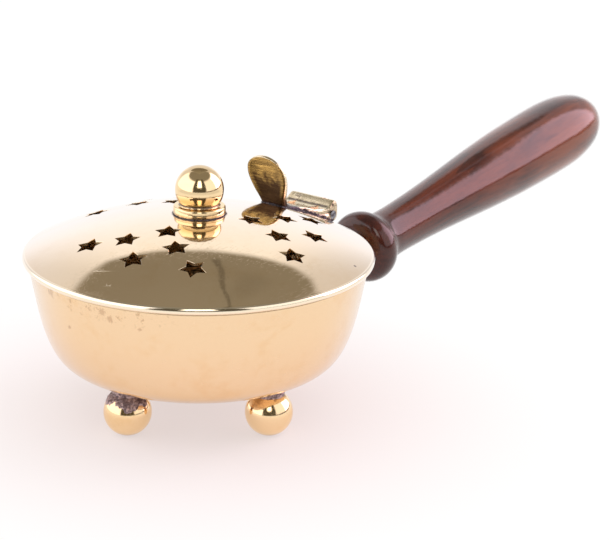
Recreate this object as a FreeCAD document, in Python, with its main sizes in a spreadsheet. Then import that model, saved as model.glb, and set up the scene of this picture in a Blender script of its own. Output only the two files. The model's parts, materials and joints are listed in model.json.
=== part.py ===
import FreeCAD, Part
import math
import os
import Sketcher

# Hand censer: a spun brass fire bowl on four ball feet, a hinged domed lid
# pierced with stars, a thumb lift, a ball knob, a lift-out fire pan and a
# turned wooden handle.  Millimetres.  Origin: on the bowl's axis, on the
# plane the ball feet stand on.  +Z is up, +X points along the handle, and the
# hinge pin lies along Y, on the handle side.

Vector = FreeCAD.Vector
Rotation = FreeCAD.Rotation
doc = FreeCAD.newDocument("hand_censer")
sheet = doc.addObject("Spreadsheet::Sheet", "dims")
dim = {}
pieces = []  # the finished pieces, in the order they are written

# ---------------------------------------------------------------- dimensions
# alias, value, note
DIMENSIONS = [
    ("bowl_wall", 1.2, "bowl sheet thickness"),
    ("rim_radius", 54.7, "bowl outer radius at the rim"),
    ("rim_height", 51.55, "height of the bowl rim"),
    ("bowl_base", 14.9, "height of the underside of the bowl"),
    ("lid_radius", 56.5, "lid outer radius over the rolled edge"),
    ("dome_radius", 126.6, "sphere radius of the lid dome"),
    ("dome_top", 66.9, "height of the crown of the dome"),
    ("lid_wall", 1.1, "lid sheet thickness"),
    ("lid_bore", 2.2, "radius of the knob screw hole"),
    ("star_outer", 4.4, "star piercing, circle through the tips"),
    ("star_inner", 2.0, "star piercing, circle through the notches"),
    ("pin_axis_x", 59.5, "hinge pin axis, distance from the bowl axis"),
    ("pin_axis_z", 54.5, "hinge pin axis, height"),
    ("pin_radius", 1.5, "hinge pin radius"),
    ("pin_length", 19.0, "hinge pin length"),
    ("knuckle_radius", 2.5, "radius of the lid's hinge knuckles"),
    ("fixed_knuckle_radius", 2.4, "radius of the bowl's hinge knuckle"),
    ("fixed_knuckle_width", 9.5, "width of the bowl's hinge knuckle"),
    ("knuckle_gap_width", 9.8, "gap between the lid's two knuckles"),
    ("leaf_width", 18.8, "width over the lid's two knuckles"),
    ("lift_thick", 2.3, "thumb lift thickness"),
    ("lift_lean", 20.0, "thumb lift lean towards the knob, degrees"),
    ("foot_ball_radius", 7.7, "ball foot radius"),
    ("foot_ball_height", 7.6, "height of the ball centre, so the ball has a small filed flat"),
    ("foot_circle", 31.7, "radius of the circle of feet"),
    ("foot_turn", -5.0, "turn of the ring of feet against the handle, degrees"),
    ("foot_tenon_radius", 2.5, "foot tenon through the bowl"),
    ("knob_radius", 7.83, "ball knob radius"),
    ("knob_centre", 74.5, "height of the ball knob centre"),
    ("knob_bore", 2.0, "blind bore for the knob screw"),
    ("handle_x", 86.3, "centre of the handle's front face, x"),
    ("handle_z", 32.8, "centre of the handle's front face, z"),
    ("handle_tilt", 7.32, "rise of the handle, degrees"),
    ("stud_radius", 2.5, "handle stud radius"),
    ("stud_depth", 45.0, "depth of the stud in the wood"),
    ("stud_root", 16.0, "depth of the stud in the bracket"),
    ("pan_wall", 0.8, "fire pan sheet thickness"),
    ("grate_radius", 28.55, "grate radius"),
    ("grate_z", 24.0, "height of the grate's underside"),
    ("grate_thick", 0.8, "grate thickness"),
    ("grate_hole", 1.6, "radius of the grate's holes"),
    ("rivet_radius", 1.3, "rivet shank radius"),
]


def cell(alias, value, note):
    """Add one row to the dimension sheet: note, value, alias."""
    row = len(dim) + 1
    sheet.set("A%d" % row, note)
    sheet.set("B%d" % row, repr(float(value)))
    sheet.setAlias("B%d" % row, alias)
    dim[alias] = float(value)


for entry in DIMENSIONS:
    cell(*entry)

# ------------------------------------------------------------- shared places
UPRIGHT = Rotation()
ALONG_X = Rotation(Vector(0, 1, 0), 90)
ALONG_Y = Rotation(Vector(1, 0, 0), -90)

PIN_X = dim["pin_axis_x"]
PIN_Z = dim["pin_axis_z"]

# The handle's own frame: x along its axis, zero at its front face.
HANDLE_PLACE = FreeCAD.Placement(Vector(dim["handle_x"], 0, dim["handle_z"]),
                                 Rotation(Vector(0, -1, 0), dim["handle_tilt"]))
FERRULE_LENGTH = 1.6

# The dome ends at DOME_EDGE and runs into the rolled edge.
DOME_EDGE = 55.45
KNOB_SEAT_Z = 70.3
WASHER_UNDER_Z = 64.75
PAN_FLOOR_Z = 16.5
PAN_RIM_Z = 35.4

# Rivets: part they hold, height, turn about the bowl's axis in degrees.
RIVETS = [("socket", 27.6, 12.5), ("socket", 27.6, -12.5),
          ("hinge", 43.4, 0.0), ("hinge", 38.6, 0.0)]


# ------------------------------------------------------------ sketch helpers
def new_body(label):
    body = doc.addObject("PartDesign::Body", label)
    body.Label = label
    return body


def new_sketch(body, role, name, offset=None):
    """Sketch on one of the body's base planes, moved along its normal by offset."""
    sketch = body.newObject("Sketcher::SketchObject", name)
    plane = next(f for f in body.Origin.OriginFeatures if f.Role == role)
    sketch.AttachmentSupport = (plane, "")
    sketch.MapMode = "FlatFace"
    if offset is not None:
        sketch.AttachmentOffset = FreeCAD.Placement(Vector(0, 0, offset), UPRIGHT)
    return sketch


def pin_vertex(sketch, edge, vertex, key, x, y):
    """Hold one sketch vertex with two dimensions read from the sheet."""
    for axis, value, kind, on_axis in (("x", x, "DistanceX", -2), ("y", y, "DistanceY", -1)):
        if abs(value) < 1e-9:
            sketch.addConstraint(Sketcher.Constraint("PointOnObject", edge, vertex, on_axis))
            continue
        index = sketch.addConstraint(Sketcher.Constraint(kind, -1, 1, edge, vertex, value))
        alias = "%s_%s" % (key, axis)
        if alias not in dim:
            cell(alias, value, alias.replace("_", " "))
        sketch.setExpression("Constraints[%d]" % index, "dims.%s" % alias)


def line_between(start, end):
    return Part.LineSegment(Vector(*start, 0), Vector(*end, 0))


def arc_through(start, middle, end):
    """Anticlockwise arc through three points, and whether it begins at start."""
    (x1, y1), (x2, y2), (x3, y3) = start, middle, end
    twist = 2 * (x1 * (y2 - y3) + x2 * (y3 - y1) + x3 * (y1 - y2))
    square1, square2, square3 = x1 * x1 + y1 * y1, x2 * x2 + y2 * y2, x3 * x3 + y3 * y3
    centre_x = (square1 * (y2 - y3) + square2 * (y3 - y1) + square3 * (y1 - y2)) / twist
    centre_y = (square1 * (x3 - x2) + square2 * (x1 - x3) + square3 * (x2 - x1)) / twist
    forward = twist > 0
    if not forward:
        (x1, y1), (x3, y3) = (x3, y3), (x1, y1)
    angle_from = math.atan2(y1 - centre_y, x1 - centre_x)
    angle_to = math.atan2(y3 - centre_y, x3 - centre_x)
    if angle_to <= angle_from:
        angle_to += 2 * math.pi
    circle = Part.Circle(Vector(centre_x, centre_y, 0), Vector(0, 0, 1),
                         math.hypot(x1 - centre_x, y1 - centre_y))
    return Part.ArcOfCircle(circle, angle_from, angle_to), forward


def outline(sketch, key, start, *runs):
    """Draw a closed outline from start; a straight line closes it.

    Each run goes on from the last point and is ("lines", points...),
    ("arc", middle, end) or ("spline", points...).  Every vertex is
    dimensioned from the sheet, under aliases that begin with key."""
    first = sketch.GeometryCount
    edges = []  # curve, whether it runs forward, its start point
    here = start
    for kind, *points in runs + (("lines", start),):
        if kind == "lines":
            for point in points:
                edges.append((line_between(here, point), True, here))
                here = point
        elif kind == "arc":
            edges.append((*arc_through(here, *points), here))
        else:
            curve = Part.BSplineCurve()
            curve.interpolate([Vector(*point, 0) for point in [here] + points])
            edges.append((curve, True, here))
        here = points[-1]
    for curve, _, _ in edges:
        sketch.addGeometry(curve, False)
    for i, (_, forward, _) in enumerate(edges):
        j = (i + 1) % len(edges)
        sketch.addConstraint(Sketcher.Constraint(
            "Coincident", first + i, 2 if forward else 1, first + j, 1 if edges[j][1] else 2))
    for i, (_, forward, point) in enumerate(edges):
        pin_vertex(sketch, first + i, 1 if forward else 2, "%s_%02d" % (key, i + 1), *point)


# ------------------------------------------------------------- solid helpers
def set_or_bind(obj, name, value):
    """Set a property to a number, or bind it to an expression given as text."""
    if isinstance(value, str):
        obj.setExpression(name, value)
    else:
        setattr(obj, name, value)


def turned(label, name, start, *runs, key=None, axis="V_Axis", angle=360.0, midplane=False):
    """Body revolved from an outline in the XZ plane."""
    body = new_body(label)
    sketch = new_sketch(body, "XZ_Plane", name + "_profile")
    outline(sketch, key or name, start, *runs)
    turn = body.newObject("PartDesign::Revolution", "turn")
    turn.Profile = sketch
    turn.ReferenceAxis = (sketch, [axis])
    turn.Angle = angle
    turn.Midplane = midplane
    sketch.Visibility = False
    body.Tip = turn
    return body


def pad(body, sketch, length, midplane=False):
    feature = body.newObject("PartDesign::Pad", "pad")
    feature.Profile = sketch
    set_or_bind(feature, "Length", length)
    feature.Midplane = midplane
    body.Tip = feature


def cut_upwards(body, sketch, least, name="cut", depth=None):
    """Cut a flat sketch upwards, right through unless a depth is given.

    Stops the script if the cut takes away less than the least volume."""
    doc.recompute()
    before = body.Shape.Volume
    pocket = body.newObject("PartDesign::Pocket", name)
    pocket.Profile = sketch
    if depth is None:
        pocket.Type = "ThroughAll"
    else:
        pocket.Length = depth
    pocket.Reversed = True
    body.Tip = pocket
    doc.recompute()
    if before - body.Shape.Volume < least:
        raise SystemExit("%s cut too little" % sketch.Label)


def cut(label, base, tool):
    result = doc.addObject("Part::Cut", label)
    result.Label = label
    result.Base = base
    result.Tool = tool
    return result


def fuse(label, *shapes):
    result = doc.addObject("Part::MultiFuse", label)
    result.Label = label
    result.Shapes = list(shapes)
    return result


def group(label, *shapes):
    result = doc.addObject("Part::Compound", label)
    result.Label = label
    result.Links = list(shapes)
    return result


def cylinder(label, radius, height, placement):
    """Cylinder whose radius and height are numbers or expressions."""
    result = doc.addObject("Part::Cylinder", label)
    result.Label = label
    set_or_bind(result, "Radius", radius)
    set_or_bind(result, "Height", height)
    result.Placement = placement
    return result


def place(x, y, z, rotation=UPRIGHT):
    return FreeCAD.Placement(Vector(x, y, z), rotation)


def place_on_handle(body):
    body.Placement = HANDLE_PLACE
    body.setExpression("Placement.Base.x", "dims.handle_x")
    body.setExpression("Placement.Base.z", "dims.handle_z")


def finish(piece):
    """List a finished piece for export under its label."""
    pieces.append(piece)
    return piece


# ------------------------------------------------------------ shared surfaces
def dome_z(radius, inset=0.0):
    """Height of the dome surface at a radius, inset along the sphere's radius."""
    sphere = dim["dome_radius"] - inset
    return dim["dome_top"] - dim["dome_radius"] + math.sqrt(sphere * sphere - radius * radius)


def on_dome(radius, inset=0.0):
    return (radius, dome_z(radius, inset))


def cap_middle(radius, z_edge, z_top):
    """Middle point of a round head that meets its own axis squarely."""
    rise = z_top - z_edge
    sphere = (radius * radius + rise * rise) / (2 * abs(rise))
    drop = sphere - math.sqrt(sphere * sphere - radius * radius / 4)
    return (radius / 2, z_top - math.copysign(drop, rise))


def on_knuckle(radius, x_offset, side=-1):
    """Point on a circle about the hinge pin, below it or, with side 1, above it."""
    return (PIN_X + x_offset, PIN_Z + side * math.sqrt(radius * radius - x_offset * x_offset))


# Bowl outside: spline poles (radius, height) along the flat base, round the
# corner and up the flared wall.
BOWL_POLES = [(0, dim["bowl_base"]), (8, dim["bowl_base"]), (17, dim["bowl_base"]),
              (28.2, 14.95), (40.7, 16.7), (47.4, 21.7), (51.6, 34.0), (52.9, 42.0),
              (dim["rim_radius"], dim["rim_height"])]
bowl_curve = Part.BSplineCurve()
bowl_curve.buildFromPolesMultsKnots([Vector(x, z, 0) for x, z in BOWL_POLES],
                                    [4, 1, 1, 1, 1, 1, 4], [0, 1, 2, 3, 4, 5, 6], False, 3)


def wall_points(inset, count=25):
    """Points (radius, height) on the bowl profile, moved inwards by inset."""
    points = []
    for i in range(count):
        knot = 6.0 * i / (count - 1)
        point = bowl_curve.value(knot)
        tangent = bowl_curve.tangent(knot)[0]
        points.append((point.x - tangent.y * inset, point.y + tangent.x * inset))
    points[0] = (0.0, points[0][1])
    return points


def wall_radius(z):
    """Outer radius of the bowl's wall at height z."""
    points = wall_points(0.0, 241)
    for (radius_a, z_a), (radius_b, z_b) in zip(points, points[1:]):
        if z_a <= z <= z_b and radius_b > 30:
            share = (z - z_a) / (z_b - z_a or 1)
            return radius_a + share * (radius_b - radius_a)
    raise ValueError(z)


def rivet_place(z, turn, offset):
    """Placement pointing outwards through the bowl, offset from its outer face."""
    rotation = Rotation(Vector(0, 0, 1), turn) * ALONG_X
    outward = rotation.multVec(Vector(0, 0, 1))
    return FreeCAD.Placement(outward * (wall_radius(z) + offset) + Vector(0, 0, z), rotation)


# Rolled edge of the lid (radius, height), from the dome round to its underside.
LID_EDGE = [(56.15, dome_z(DOME_EDGE) - 0.32), (dim["lid_radius"], 52.95),
            (56.3, 52.15), (55.75, 51.75)]
DOME_TO_EDGE = (("arc", on_dome(DOME_EDGE * 0.55), on_dome(DOME_EDGE)), ("spline", *LID_EDGE))


# ------------------------------------------------------------------ the bowl
def make_bowl():
    """Bowl, and the same form filled, used to seat the parts fixed to it."""
    outer = wall_points(0.0)
    inner = wall_points(dim["bowl_wall"])
    inner[-1] = (dim["rim_radius"] - dim["bowl_wall"], dim["rim_height"])
    bowl = turned("bowl_turned", "bowl", outer[0],
                  ("spline", *outer[1:]),
                  ("lines", inner[-1]),
                  ("spline", *inner[-2::-1]))
    filled = turned("bowl_fill", "bowl_fill", outer[0],
                    ("spline", *outer[1:]),
                    ("lines", (0.0, dim["rim_height"])), key="fill")
    return bowl, filled


def foot_centre(index):
    angle = math.radians(dim["foot_turn"] + 90.0 * index)
    return dim["foot_circle"] * math.cos(angle), dim["foot_circle"] * math.sin(angle)


def make_drills():
    """Holes for the four foot tenons and the four rivets."""
    drills = [cylinder("foot_drill_%d" % (k + 1), "dims.foot_tenon_radius", 8.0,
                       place(*foot_centre(k), 12.0)) for k in range(4)]
    for _, z, turn in RIVETS:
        drills.append(cylinder("rivet_drill", "dims.rivet_radius", 16.0,
                               rivet_place(z, turn, -9.0)))
    return fuse("all_drills", *drills)


# ------------------------------------------------------------------ the feet
def make_feet(bowl_shell, bowl_fill):
    """Cast balls, each with a tenon through the base, peened over inside the
    bowl, and a ring of braze between each ball and the bowl."""
    ball, centre_z = dim["foot_ball_radius"], dim["foot_ball_height"]
    flat = math.sqrt(ball * ball - centre_z * centre_z)
    neck, tenon, head = 3.2, dim["foot_tenon_radius"], 3.7
    neck_z = centre_z + math.sqrt(ball * ball - neck * neck)
    shoulder_z, head_z, head_edge_z, head_top_z = 15.6, 15.8, 17.2, 18.2
    braze_radius, braze_height, braze_z = 4.9, 4.0, 12.6
    rings = []
    # in turn towards +X, +Y, -X and -Y
    for k, name in enumerate(("foot_handle_side", "foot_left", "foot_front", "foot_right")):
        foot = turned(name + "_turned", "foot", (0.0, 0.0),
                      ("lines", (flat, 0.0)),
                      ("arc", (ball, centre_z), (neck, neck_z)),
                      ("lines", (neck, shoulder_z), (tenon, shoulder_z), (tenon, head_z),
                       (head, head_z), (head, head_edge_z)),
                      ("arc", cap_middle(head, head_edge_z, head_top_z), (0.0, head_top_z)))
        foot.Placement = place(*foot_centre(k), 0)
        finish(cut(name, foot, bowl_shell))
        blank = cylinder("braze_blank_%d" % (k + 1), braze_radius, braze_height,
                         place(*foot_centre(k), braze_z))
        ring = cut("braze_a_%d" % (k + 1), blank, foot)
        rings.append(cut("braze_b_%d" % (k + 1), ring, bowl_fill))
    finish(group("foot_braze", *rings))


# ------------------------------------------------------------------- the lid
# Star piercings: three clusters of six, each a triangle of one, two and three
# stars that points at the knob.  Radius, angle and turn of each star.
STARS = [(18.9, -171.0, -10), (29.1, 169.4, 1), (28.2, -154.6, -16),
         (38.2, 156.3, 8), (37.4, -172.6, -2), (38.7, -142.7, -8),
         (16.8, -63.4, -12), (27.7, -41.6, -15), (28.5, -79.8, 1),
         (38.0, -32.6, -6), (37.2, -61.2, -6), (38.7, -91.8, -2),
         (19.2, 66.0, 12), (29.3, 83.0, -12), (28.6, 49.0, 6),
         (38.4, 101.0, -12), (38.0, 68.0, 4), (38.5, 37.5, -5)]


def draw_star(sketch, radius, angle, turn):
    """Five-pointed star with its edges blocked in place."""
    centre_x = radius * math.cos(math.radians(angle))
    centre_y = radius * math.sin(math.radians(angle))
    points = []
    for j in range(10):
        reach = dim["star_outer"] if j % 2 == 0 else dim["star_inner"]
        ray = math.radians(angle + turn + 36.0 * j)
        points.append((centre_x + reach * math.cos(ray), centre_y + reach * math.sin(ray)))
    first = sketch.GeometryCount
    for j in range(10):
        sketch.addGeometry(line_between(points[j], points[(j + 1) % 10]), False)
    for j in range(10):
        sketch.addConstraint(
            Sketcher.Constraint("Coincident", first + j, 2, first + (j + 1) % 10, 1))
    for j in range(10):
        sketch.addConstraint(Sketcher.Constraint("Block", first + j))


def make_lid():
    inner_edge = 54.3
    bore, wall = dim["lid_bore"], dim["lid_wall"]
    lid = turned("lid_shell", "lid", on_dome(bore),
                 *DOME_TO_EDGE,
                 ("lines", (54.8, 51.75), on_dome(inner_edge, wall)),
                 ("arc", on_dome(inner_edge * 0.55, wall), on_dome(bore, wall)))
    sketch = new_sketch(lid, "XY_Plane", "star_sketch")
    for star in STARS:
        draw_star(sketch, *star)
    cut_upwards(lid, sketch, least=400)
    finish(lid)


def make_lid_fill():
    """The lid's outer form, filled, used to seat the parts on the dome."""
    floor_z = 44.0
    return turned("lid_fill", "lid_fill", (0.0, dim["dome_top"]),
                  *DOME_TO_EDGE,
                  ("lines", (55.0, floor_z), (0.0, floor_z)), key="lidfill")


# ------------------------------------------------------------- the ball knob
def make_knob_flange():
    """Stepped collar between the dome and the ball."""
    bore = dim["lid_bore"]
    finish(turned("knob_flange", "flange", on_dome(bore),
                  ("arc", on_dome(5.2), on_dome(8.25)),
                  ("lines", (8.4, 67.2), (8.4, 68.9)),
                  ("arc", (8.2, 69.35), (7.7, 69.5)),
                  ("lines", (7.0, 69.5)),
                  ("arc", (6.95, 70.0), (6.5, KNOB_SEAT_Z)),
                  ("lines", (bore, KNOB_SEAT_Z))))


def make_knob_ball():
    """Ball with a spigot below it and a blind bore."""
    ball, centre_z, bore = dim["knob_radius"], dim["knob_centre"], dim["knob_bore"]
    spigot, flat = 5.8, 6.75
    flat_z = centre_z - math.sqrt(ball * ball - flat * flat)
    finish(turned("knob_ball", "knob", (bore, KNOB_SEAT_Z),
                  ("lines", (spigot, KNOB_SEAT_Z), (spigot, flat_z), (flat, flat_z)),
                  ("arc", (ball, centre_z), (0.0, centre_z + ball)),
                  ("lines", (0.0, 77.5), (bore, 76.4))))


def make_knob_washer():
    bore, radius, top_z = 2.15, 5.2, 65.6
    finish(turned("knob_washer", "washer", (bore, WASHER_UNDER_Z),
                  ("lines", (radius, WASHER_UNDER_Z), (radius, top_z), (bore, top_z))))


def make_knob_screw():
    """Slotted screw, head down, up through the washer into the ball."""
    shank, head, head_z, tip_z = dim["knob_bore"], 3.8, 62.9, 76.0
    screw = turned("knob_screw", "screw", (0.0, head_z),
                   ("lines", (1.2, head_z)),
                   ("arc", (3.2, 63.4), (head, WASHER_UNDER_Z)),
                   ("lines", (shank, WASHER_UNDER_Z), (shank, 75.4), (1.5, tip_z), (0.0, tip_z)))
    slot_half_length, slot_half_width = 5.0, 0.45
    slot = new_sketch(screw, "XY_Plane", "screw_slot", 62.0)
    outline(slot, "slot", (slot_half_length, slot_half_width),
            ("lines", (slot_half_length, -slot_half_width),
             (-slot_half_length, -slot_half_width), (-slot_half_length, slot_half_width)))
    cut_upwards(screw, slot, least=1, name="slot_cut", depth=1.7)
    finish(screw)


# ------------------------------------------------------- the hinge, lid side
# Scooped top of the leaf (x, z), from the thumb lift out over the knuckles.
LEAF_SCOOP = [(45.0, 60.5), (49.0, 58.75), (52.2, 57.35), (55.0, 56.75), (57.2, 57.25),
              (58.9, 58.65), (60.15, 59.35), (61.35, 58.95), (61.85, 57.6), (62.0, 56.0)]

# Waste beside the leaf (x, distance from the middle), which narrows it from
# the knuckles to the thumb lift.
LEAF_WASTE = [(38.0, 5.0), (41.0, 5.0), (50.0, 7.0), (57.5, 9.5), (57.5, 14.0), (38.0, 14.0)]

# One side of the thumb lift (half width, height), from its foot to its tip.
LIFT_SIDE = [(4.7, -2.0), (4.75, 0.0), (5.35, 3.0), (6.6, 6.5), (7.65, 10.0),
             (7.85, 12.6), (7.0, 15.6), (4.7, 17.9), (0.0, 19.2)]


def make_leaf_blank():
    """Leaf on the dome with a full-width knuckle at its outer end."""
    leaf = new_body("leaf_cast")
    sketch = new_sketch(leaf, "XZ_Plane", "leaf_profile")
    knuckle = dim["knuckle_radius"]
    outline(sketch, "leaf", (41.0, 56.0),
            ("lines", (41.0, 61.2), (41.6, 61.9)),
            ("spline", *LEAF_SCOOP, on_knuckle(knuckle, knuckle)),
            ("arc", on_knuckle(knuckle, knuckle * 0.5), on_knuckle(knuckle, -knuckle * 0.34)),
            ("lines", (57.0, 54.0), (55.2, 52.4)))
    pad(leaf, sketch, "dims.leaf_width", midplane=True)
    sketch = new_sketch(leaf, "XY_Plane", "leaf_flare")
    for key, side in (("flare_a", 1), ("flare_b", -1)):
        waste = [(x, side * y) for x, y in LEAF_WASTE]
        outline(sketch, key, waste[0], ("lines", *waste[1:]))
    cut_upwards(leaf, sketch, least=100)
    return leaf


def make_thumb_lift(lid_fill):
    """Spoon-shaped tab standing at the knob end of the leaf; returns it unseated."""
    lift = new_body("lift_cast")
    sketch = new_sketch(lift, "YZ_Plane", "lift_outline")
    far_side = [(-y, z) for y, z in LIFT_SIDE[-2::-1]]
    outline(sketch, "lift", LIFT_SIDE[0], ("spline", *LIFT_SIDE[1:], *far_side))
    pad(lift, sketch, "dims.lift_thick", midplane=True)
    lift.Placement = place(39.2, 0, 60.8, Rotation(Vector(0, -1, 0), dim["lift_lean"]))
    finish(cut("thumb_lift", lift, lid_fill))
    return lift


def make_hinge_leaf(leaf, lift, lid_fill):
    """Leaf seated on the dome, with the knuckle gap and the pin hole cut."""
    gap = dim["knuckle_gap_width"]
    gap_cut = cylinder("gap_cut", 2.85, "dims.knuckle_gap_width",
                       place(PIN_X, -gap / 2, PIN_Z, ALONG_Y))
    gap_box = doc.addObject("Part::Box", "gap_box")
    gap_box.Label = "gap_box"
    gap_box.Length = 8.0
    gap_box.Height = 6.0
    gap_box.setExpression("Width", "dims.knuckle_gap_width")
    gap_box.Placement = place(56.3, -gap / 2, PIN_Z - 6.0)
    pin_hole = cylinder("pin_hole", "dims.pin_radius + 0.05", 30.0,
                        place(PIN_X, -15.0, PIN_Z, ALONG_Y))
    tools = fuse("leaf_tools", lid_fill, lift, gap_cut, gap_box, pin_hole)
    finish(cut("hinge_leaf", leaf, tools))


# ------------------------------------------------------ the hinge, bowl side
def make_hinge_bracket(bowl_fill, drills):
    bracket = new_body("bracket_cast")
    sketch = new_sketch(bracket, "XZ_Plane", "bracket_profile")
    knuckle = dim["fixed_knuckle_radius"]
    outline(sketch, "bracket", on_knuckle(knuckle, 0.9),
            ("arc", on_knuckle(knuckle, knuckle * math.sqrt(0.5), side=1),
             on_knuckle(knuckle, -1.9)),
            ("lines", (57.4, 50.2), (54.4, 47.2), (50.0, 46.2), (50.0, 36.0),
             (53.4, 36.0), (55.6, 45.4), (60.2, 49.4)))
    pad(bracket, sketch, "dims.fixed_knuckle_width", midplane=True)
    pin_seat = cylinder("pin_seat", "dims.pin_radius", 30.0, place(PIN_X, -15.0, PIN_Z, ALONG_Y))
    tools = fuse("bracket_tools", bowl_fill, drills, pin_seat)
    return finish(cut("hinge_bracket", bracket, tools))


def make_hinge_pin():
    finish(cylinder("hinge_pin", "dims.pin_radius", "dims.pin_length",
                    place(PIN_X, -dim["pin_length"] / 2, PIN_Z, ALONG_Y)))


# ------------------------------------------------------------ handle bracket
# Waisted part of the stem (x in the handle's frame, radius).
STEM_WAIST = [(-37.5, 6.5), (-32.0, 5.3), (-24.0, 4.9), (-14.0, 5.0), (-7.0, 5.2), (-4.2, 5.5)]


def make_stem():
    """Round stem from the bowl to the ferrule, recessed for the stud."""
    stud, root, end_x = dim["stud_radius"], dim["stud_root"], -FERRULE_LENGTH
    stem = turned("stem_cast", "stem", (-46.0, 0.0),
                  ("lines", (-46.0, 8.2), (-40.5, 8.0)),
                  ("spline", *STEM_WAIST),
                  ("lines", (-3.6, 6.6), (end_x, 6.6), (end_x, stud), (-root, stud),
                   (-root, 0.0)), axis="H_Axis")
    place_on_handle(stem)
    return stem


def make_saddle():
    """Curved plate that follows the bowl's wall."""
    thick, sunk, outer_drop = 2.0, 0.4, 0.6
    low_z, high_z, steps = 19.8, 35.4, 8
    heights = [low_z + (high_z - low_z) * i / steps for i in range(steps + 1)]
    inner = [(wall_radius(z) - sunk, z) for z in heights]
    outer = [(wall_radius(z) + thick, z - outer_drop) for z in heights]
    return turned("saddle_cast", "saddle", outer[0],
                  ("spline", *outer[1:]),
                  ("lines", inner[-1]),
                  ("spline", *inner[-2::-1]), angle=34.0, midplane=True)


def make_handle_bracket(bowl_fill, drills):
    casting = fuse("cast_bracket", make_stem(), make_saddle())
    root = HANDLE_PLACE.multVec(Vector(-dim["stud_root"], 0, 0))
    stud_seat = cylinder("stud_seat", "dims.stud_radius", 40.0,
                         FreeCAD.Placement(root, HANDLE_PLACE.Rotation * ALONG_X))
    tools = fuse("bracket_cutters", bowl_fill, drills, stud_seat)
    return finish(cut("handle_bracket", casting, tools))


# -------------------------------------------------------------------- rivets
def make_rivets(label, kind, reach, bowl_shell, held_part):
    """Rivets of one kind; heights run outwards from the bowl's outer face."""
    shank = dim["rivet_radius"]
    inner_head, inner_top, inner_edge, inner_seat = 2.5, -3.1, -1.9, -1.05
    outer_head, outer_seat, outer_edge = 2.3, reach - 1.5, reach - 0.9
    seated = []
    for i, (row_kind, z, turn) in enumerate(RIVETS):
        if row_kind != kind:
            continue
        rivet = turned("%s_rivet_%d" % (kind, i), "rivet", (0.0, inner_top),
                       ("arc", cap_middle(inner_head, inner_edge, inner_top),
                        (inner_head, inner_edge)),
                       ("lines", (inner_head, inner_seat), (shank, inner_seat),
                        (shank, outer_seat), (outer_head, outer_seat),
                        (outer_head, outer_edge)),
                       ("arc", cap_middle(outer_head, outer_edge, reach), (0.0, reach)),
                       key="rivet_" + kind)
        rivet.Placement = rivet_place(z, turn, 0.0)
        seat = fuse("%s_rivet_seat_%d" % (kind, i), bowl_shell, held_part)
        seated.append(cut("%s_rivet_seated_%d" % (kind, i), rivet, seat))
    finish(group(label, *seated))


# ----------------------------------------------------------- handle and stud
# Collar bead at the handle's front (x in the handle's frame, radius).
HANDLE_BEAD = [(0.0, 7.4), (0.25, 9.1), (1.0, 10.9), (2.5, 12.3), (5.2, 12.95), (7.8, 12.5),
               (9.9, 11.3), (11.3, 10.0)]

# Neck, long swell and rounded end, on from the bead.
HANDLE_SWELL = [(13.6, 9.2), (18.44, 8.86), (23.82, 8.8), (32.58, 9.04), (41.45, 9.44),
                (50.42, 9.99), (59.58, 10.66), (68.85, 11.39), (78.31, 12.12),
                (87.97, 12.73), (97.73, 13.29), (107.7, 13.64), (117.86, 13.93),
                (125.53, 14.04), (133.4, 13.99), (139.97, 13.6), (145.95, 12.75),
                (150.93, 11.52), (155.41, 9.54), (159.0, 7.08), (161.39, 4.29),
                (162.59, 0.0)]


def make_ferrule():
    bore, back_x = dim["stud_radius"] + 0.05, -FERRULE_LENGTH
    ferrule = turned("handle_ferrule", "ferrule", (back_x, bore),
                     ("lines", (back_x, 6.8), (-1.1, 7.2), (0.0, 7.2), (0.0, bore)),
                     axis="H_Axis")
    place_on_handle(ferrule)
    finish(ferrule)


def make_stud():
    radius = dim["stud_radius"]
    root_x, tip_x = -dim["stud_root"] + 0.2, dim["stud_depth"] - 1.4
    stud = turned("handle_stud", "stud", (root_x, 0.0),
                  ("lines", (root_x, radius - 0.5), (root_x + 0.5, radius),
                   (tip_x - 2.1, radius), (tip_x, 0.6), (tip_x, 0.0)), axis="H_Axis")
    place_on_handle(stud)
    finish(stud)


def make_wooden_handle():
    bore, depth = dim["stud_radius"], dim["stud_depth"]
    wood = turned("wooden_handle", "handle", (0.0, bore),
                  ("lines", HANDLE_BEAD[0]),
                  ("spline", *HANDLE_BEAD[1:]),
                  ("spline", *HANDLE_SWELL),
                  ("lines", (depth, 0.0), (depth - 3.2, bore)), key="wood", axis="H_Axis")
    place_on_handle(wood)
    finish(wood)


# ------------------------------------------------- lift-out fire pan and grate
# Pan wall (radius, height), from the floor to the rim.
PAN_OUTSIDE = [(22.6, 16.5), (24.6, 16.85), (26.3, 18.0), (27.6, 19.8),
               (29.3, 23.2), (31.2, 27.6), (32.9, 32.2), (34.0, 35.4)]
PAN_INSIDE = [(22.3, 17.3), (24.1, 17.55), (25.6, 18.5), (26.85, 20.2),
              (28.5, 23.5), (30.4, 27.9), (32.1, 32.5), (33.3, 36.2)]

# Rings of grate holes: ring radius, number of holes.
GRATE_RINGS = [(7.0, 6), (13.5, 12), (20.0, 18), (25.4, 24)]


def make_fire_pan():
    wall, rim = dim["pan_wall"], 37.6
    finish(turned("fire_pan", "pan", (0.0, PAN_FLOOR_Z),
                  ("lines", PAN_OUTSIDE[0]),
                  ("spline", *PAN_OUTSIDE[1:]),
                  ("lines", (rim, PAN_RIM_Z)),
                  ("arc", (rim + wall / 2, PAN_RIM_Z + wall / 2), (rim, PAN_RIM_Z + wall)),
                  ("lines", PAN_INSIDE[-1]),
                  ("spline", *PAN_INSIDE[-2::-1]),
                  ("lines", (0.0, PAN_FLOOR_Z + wall))))


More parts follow.
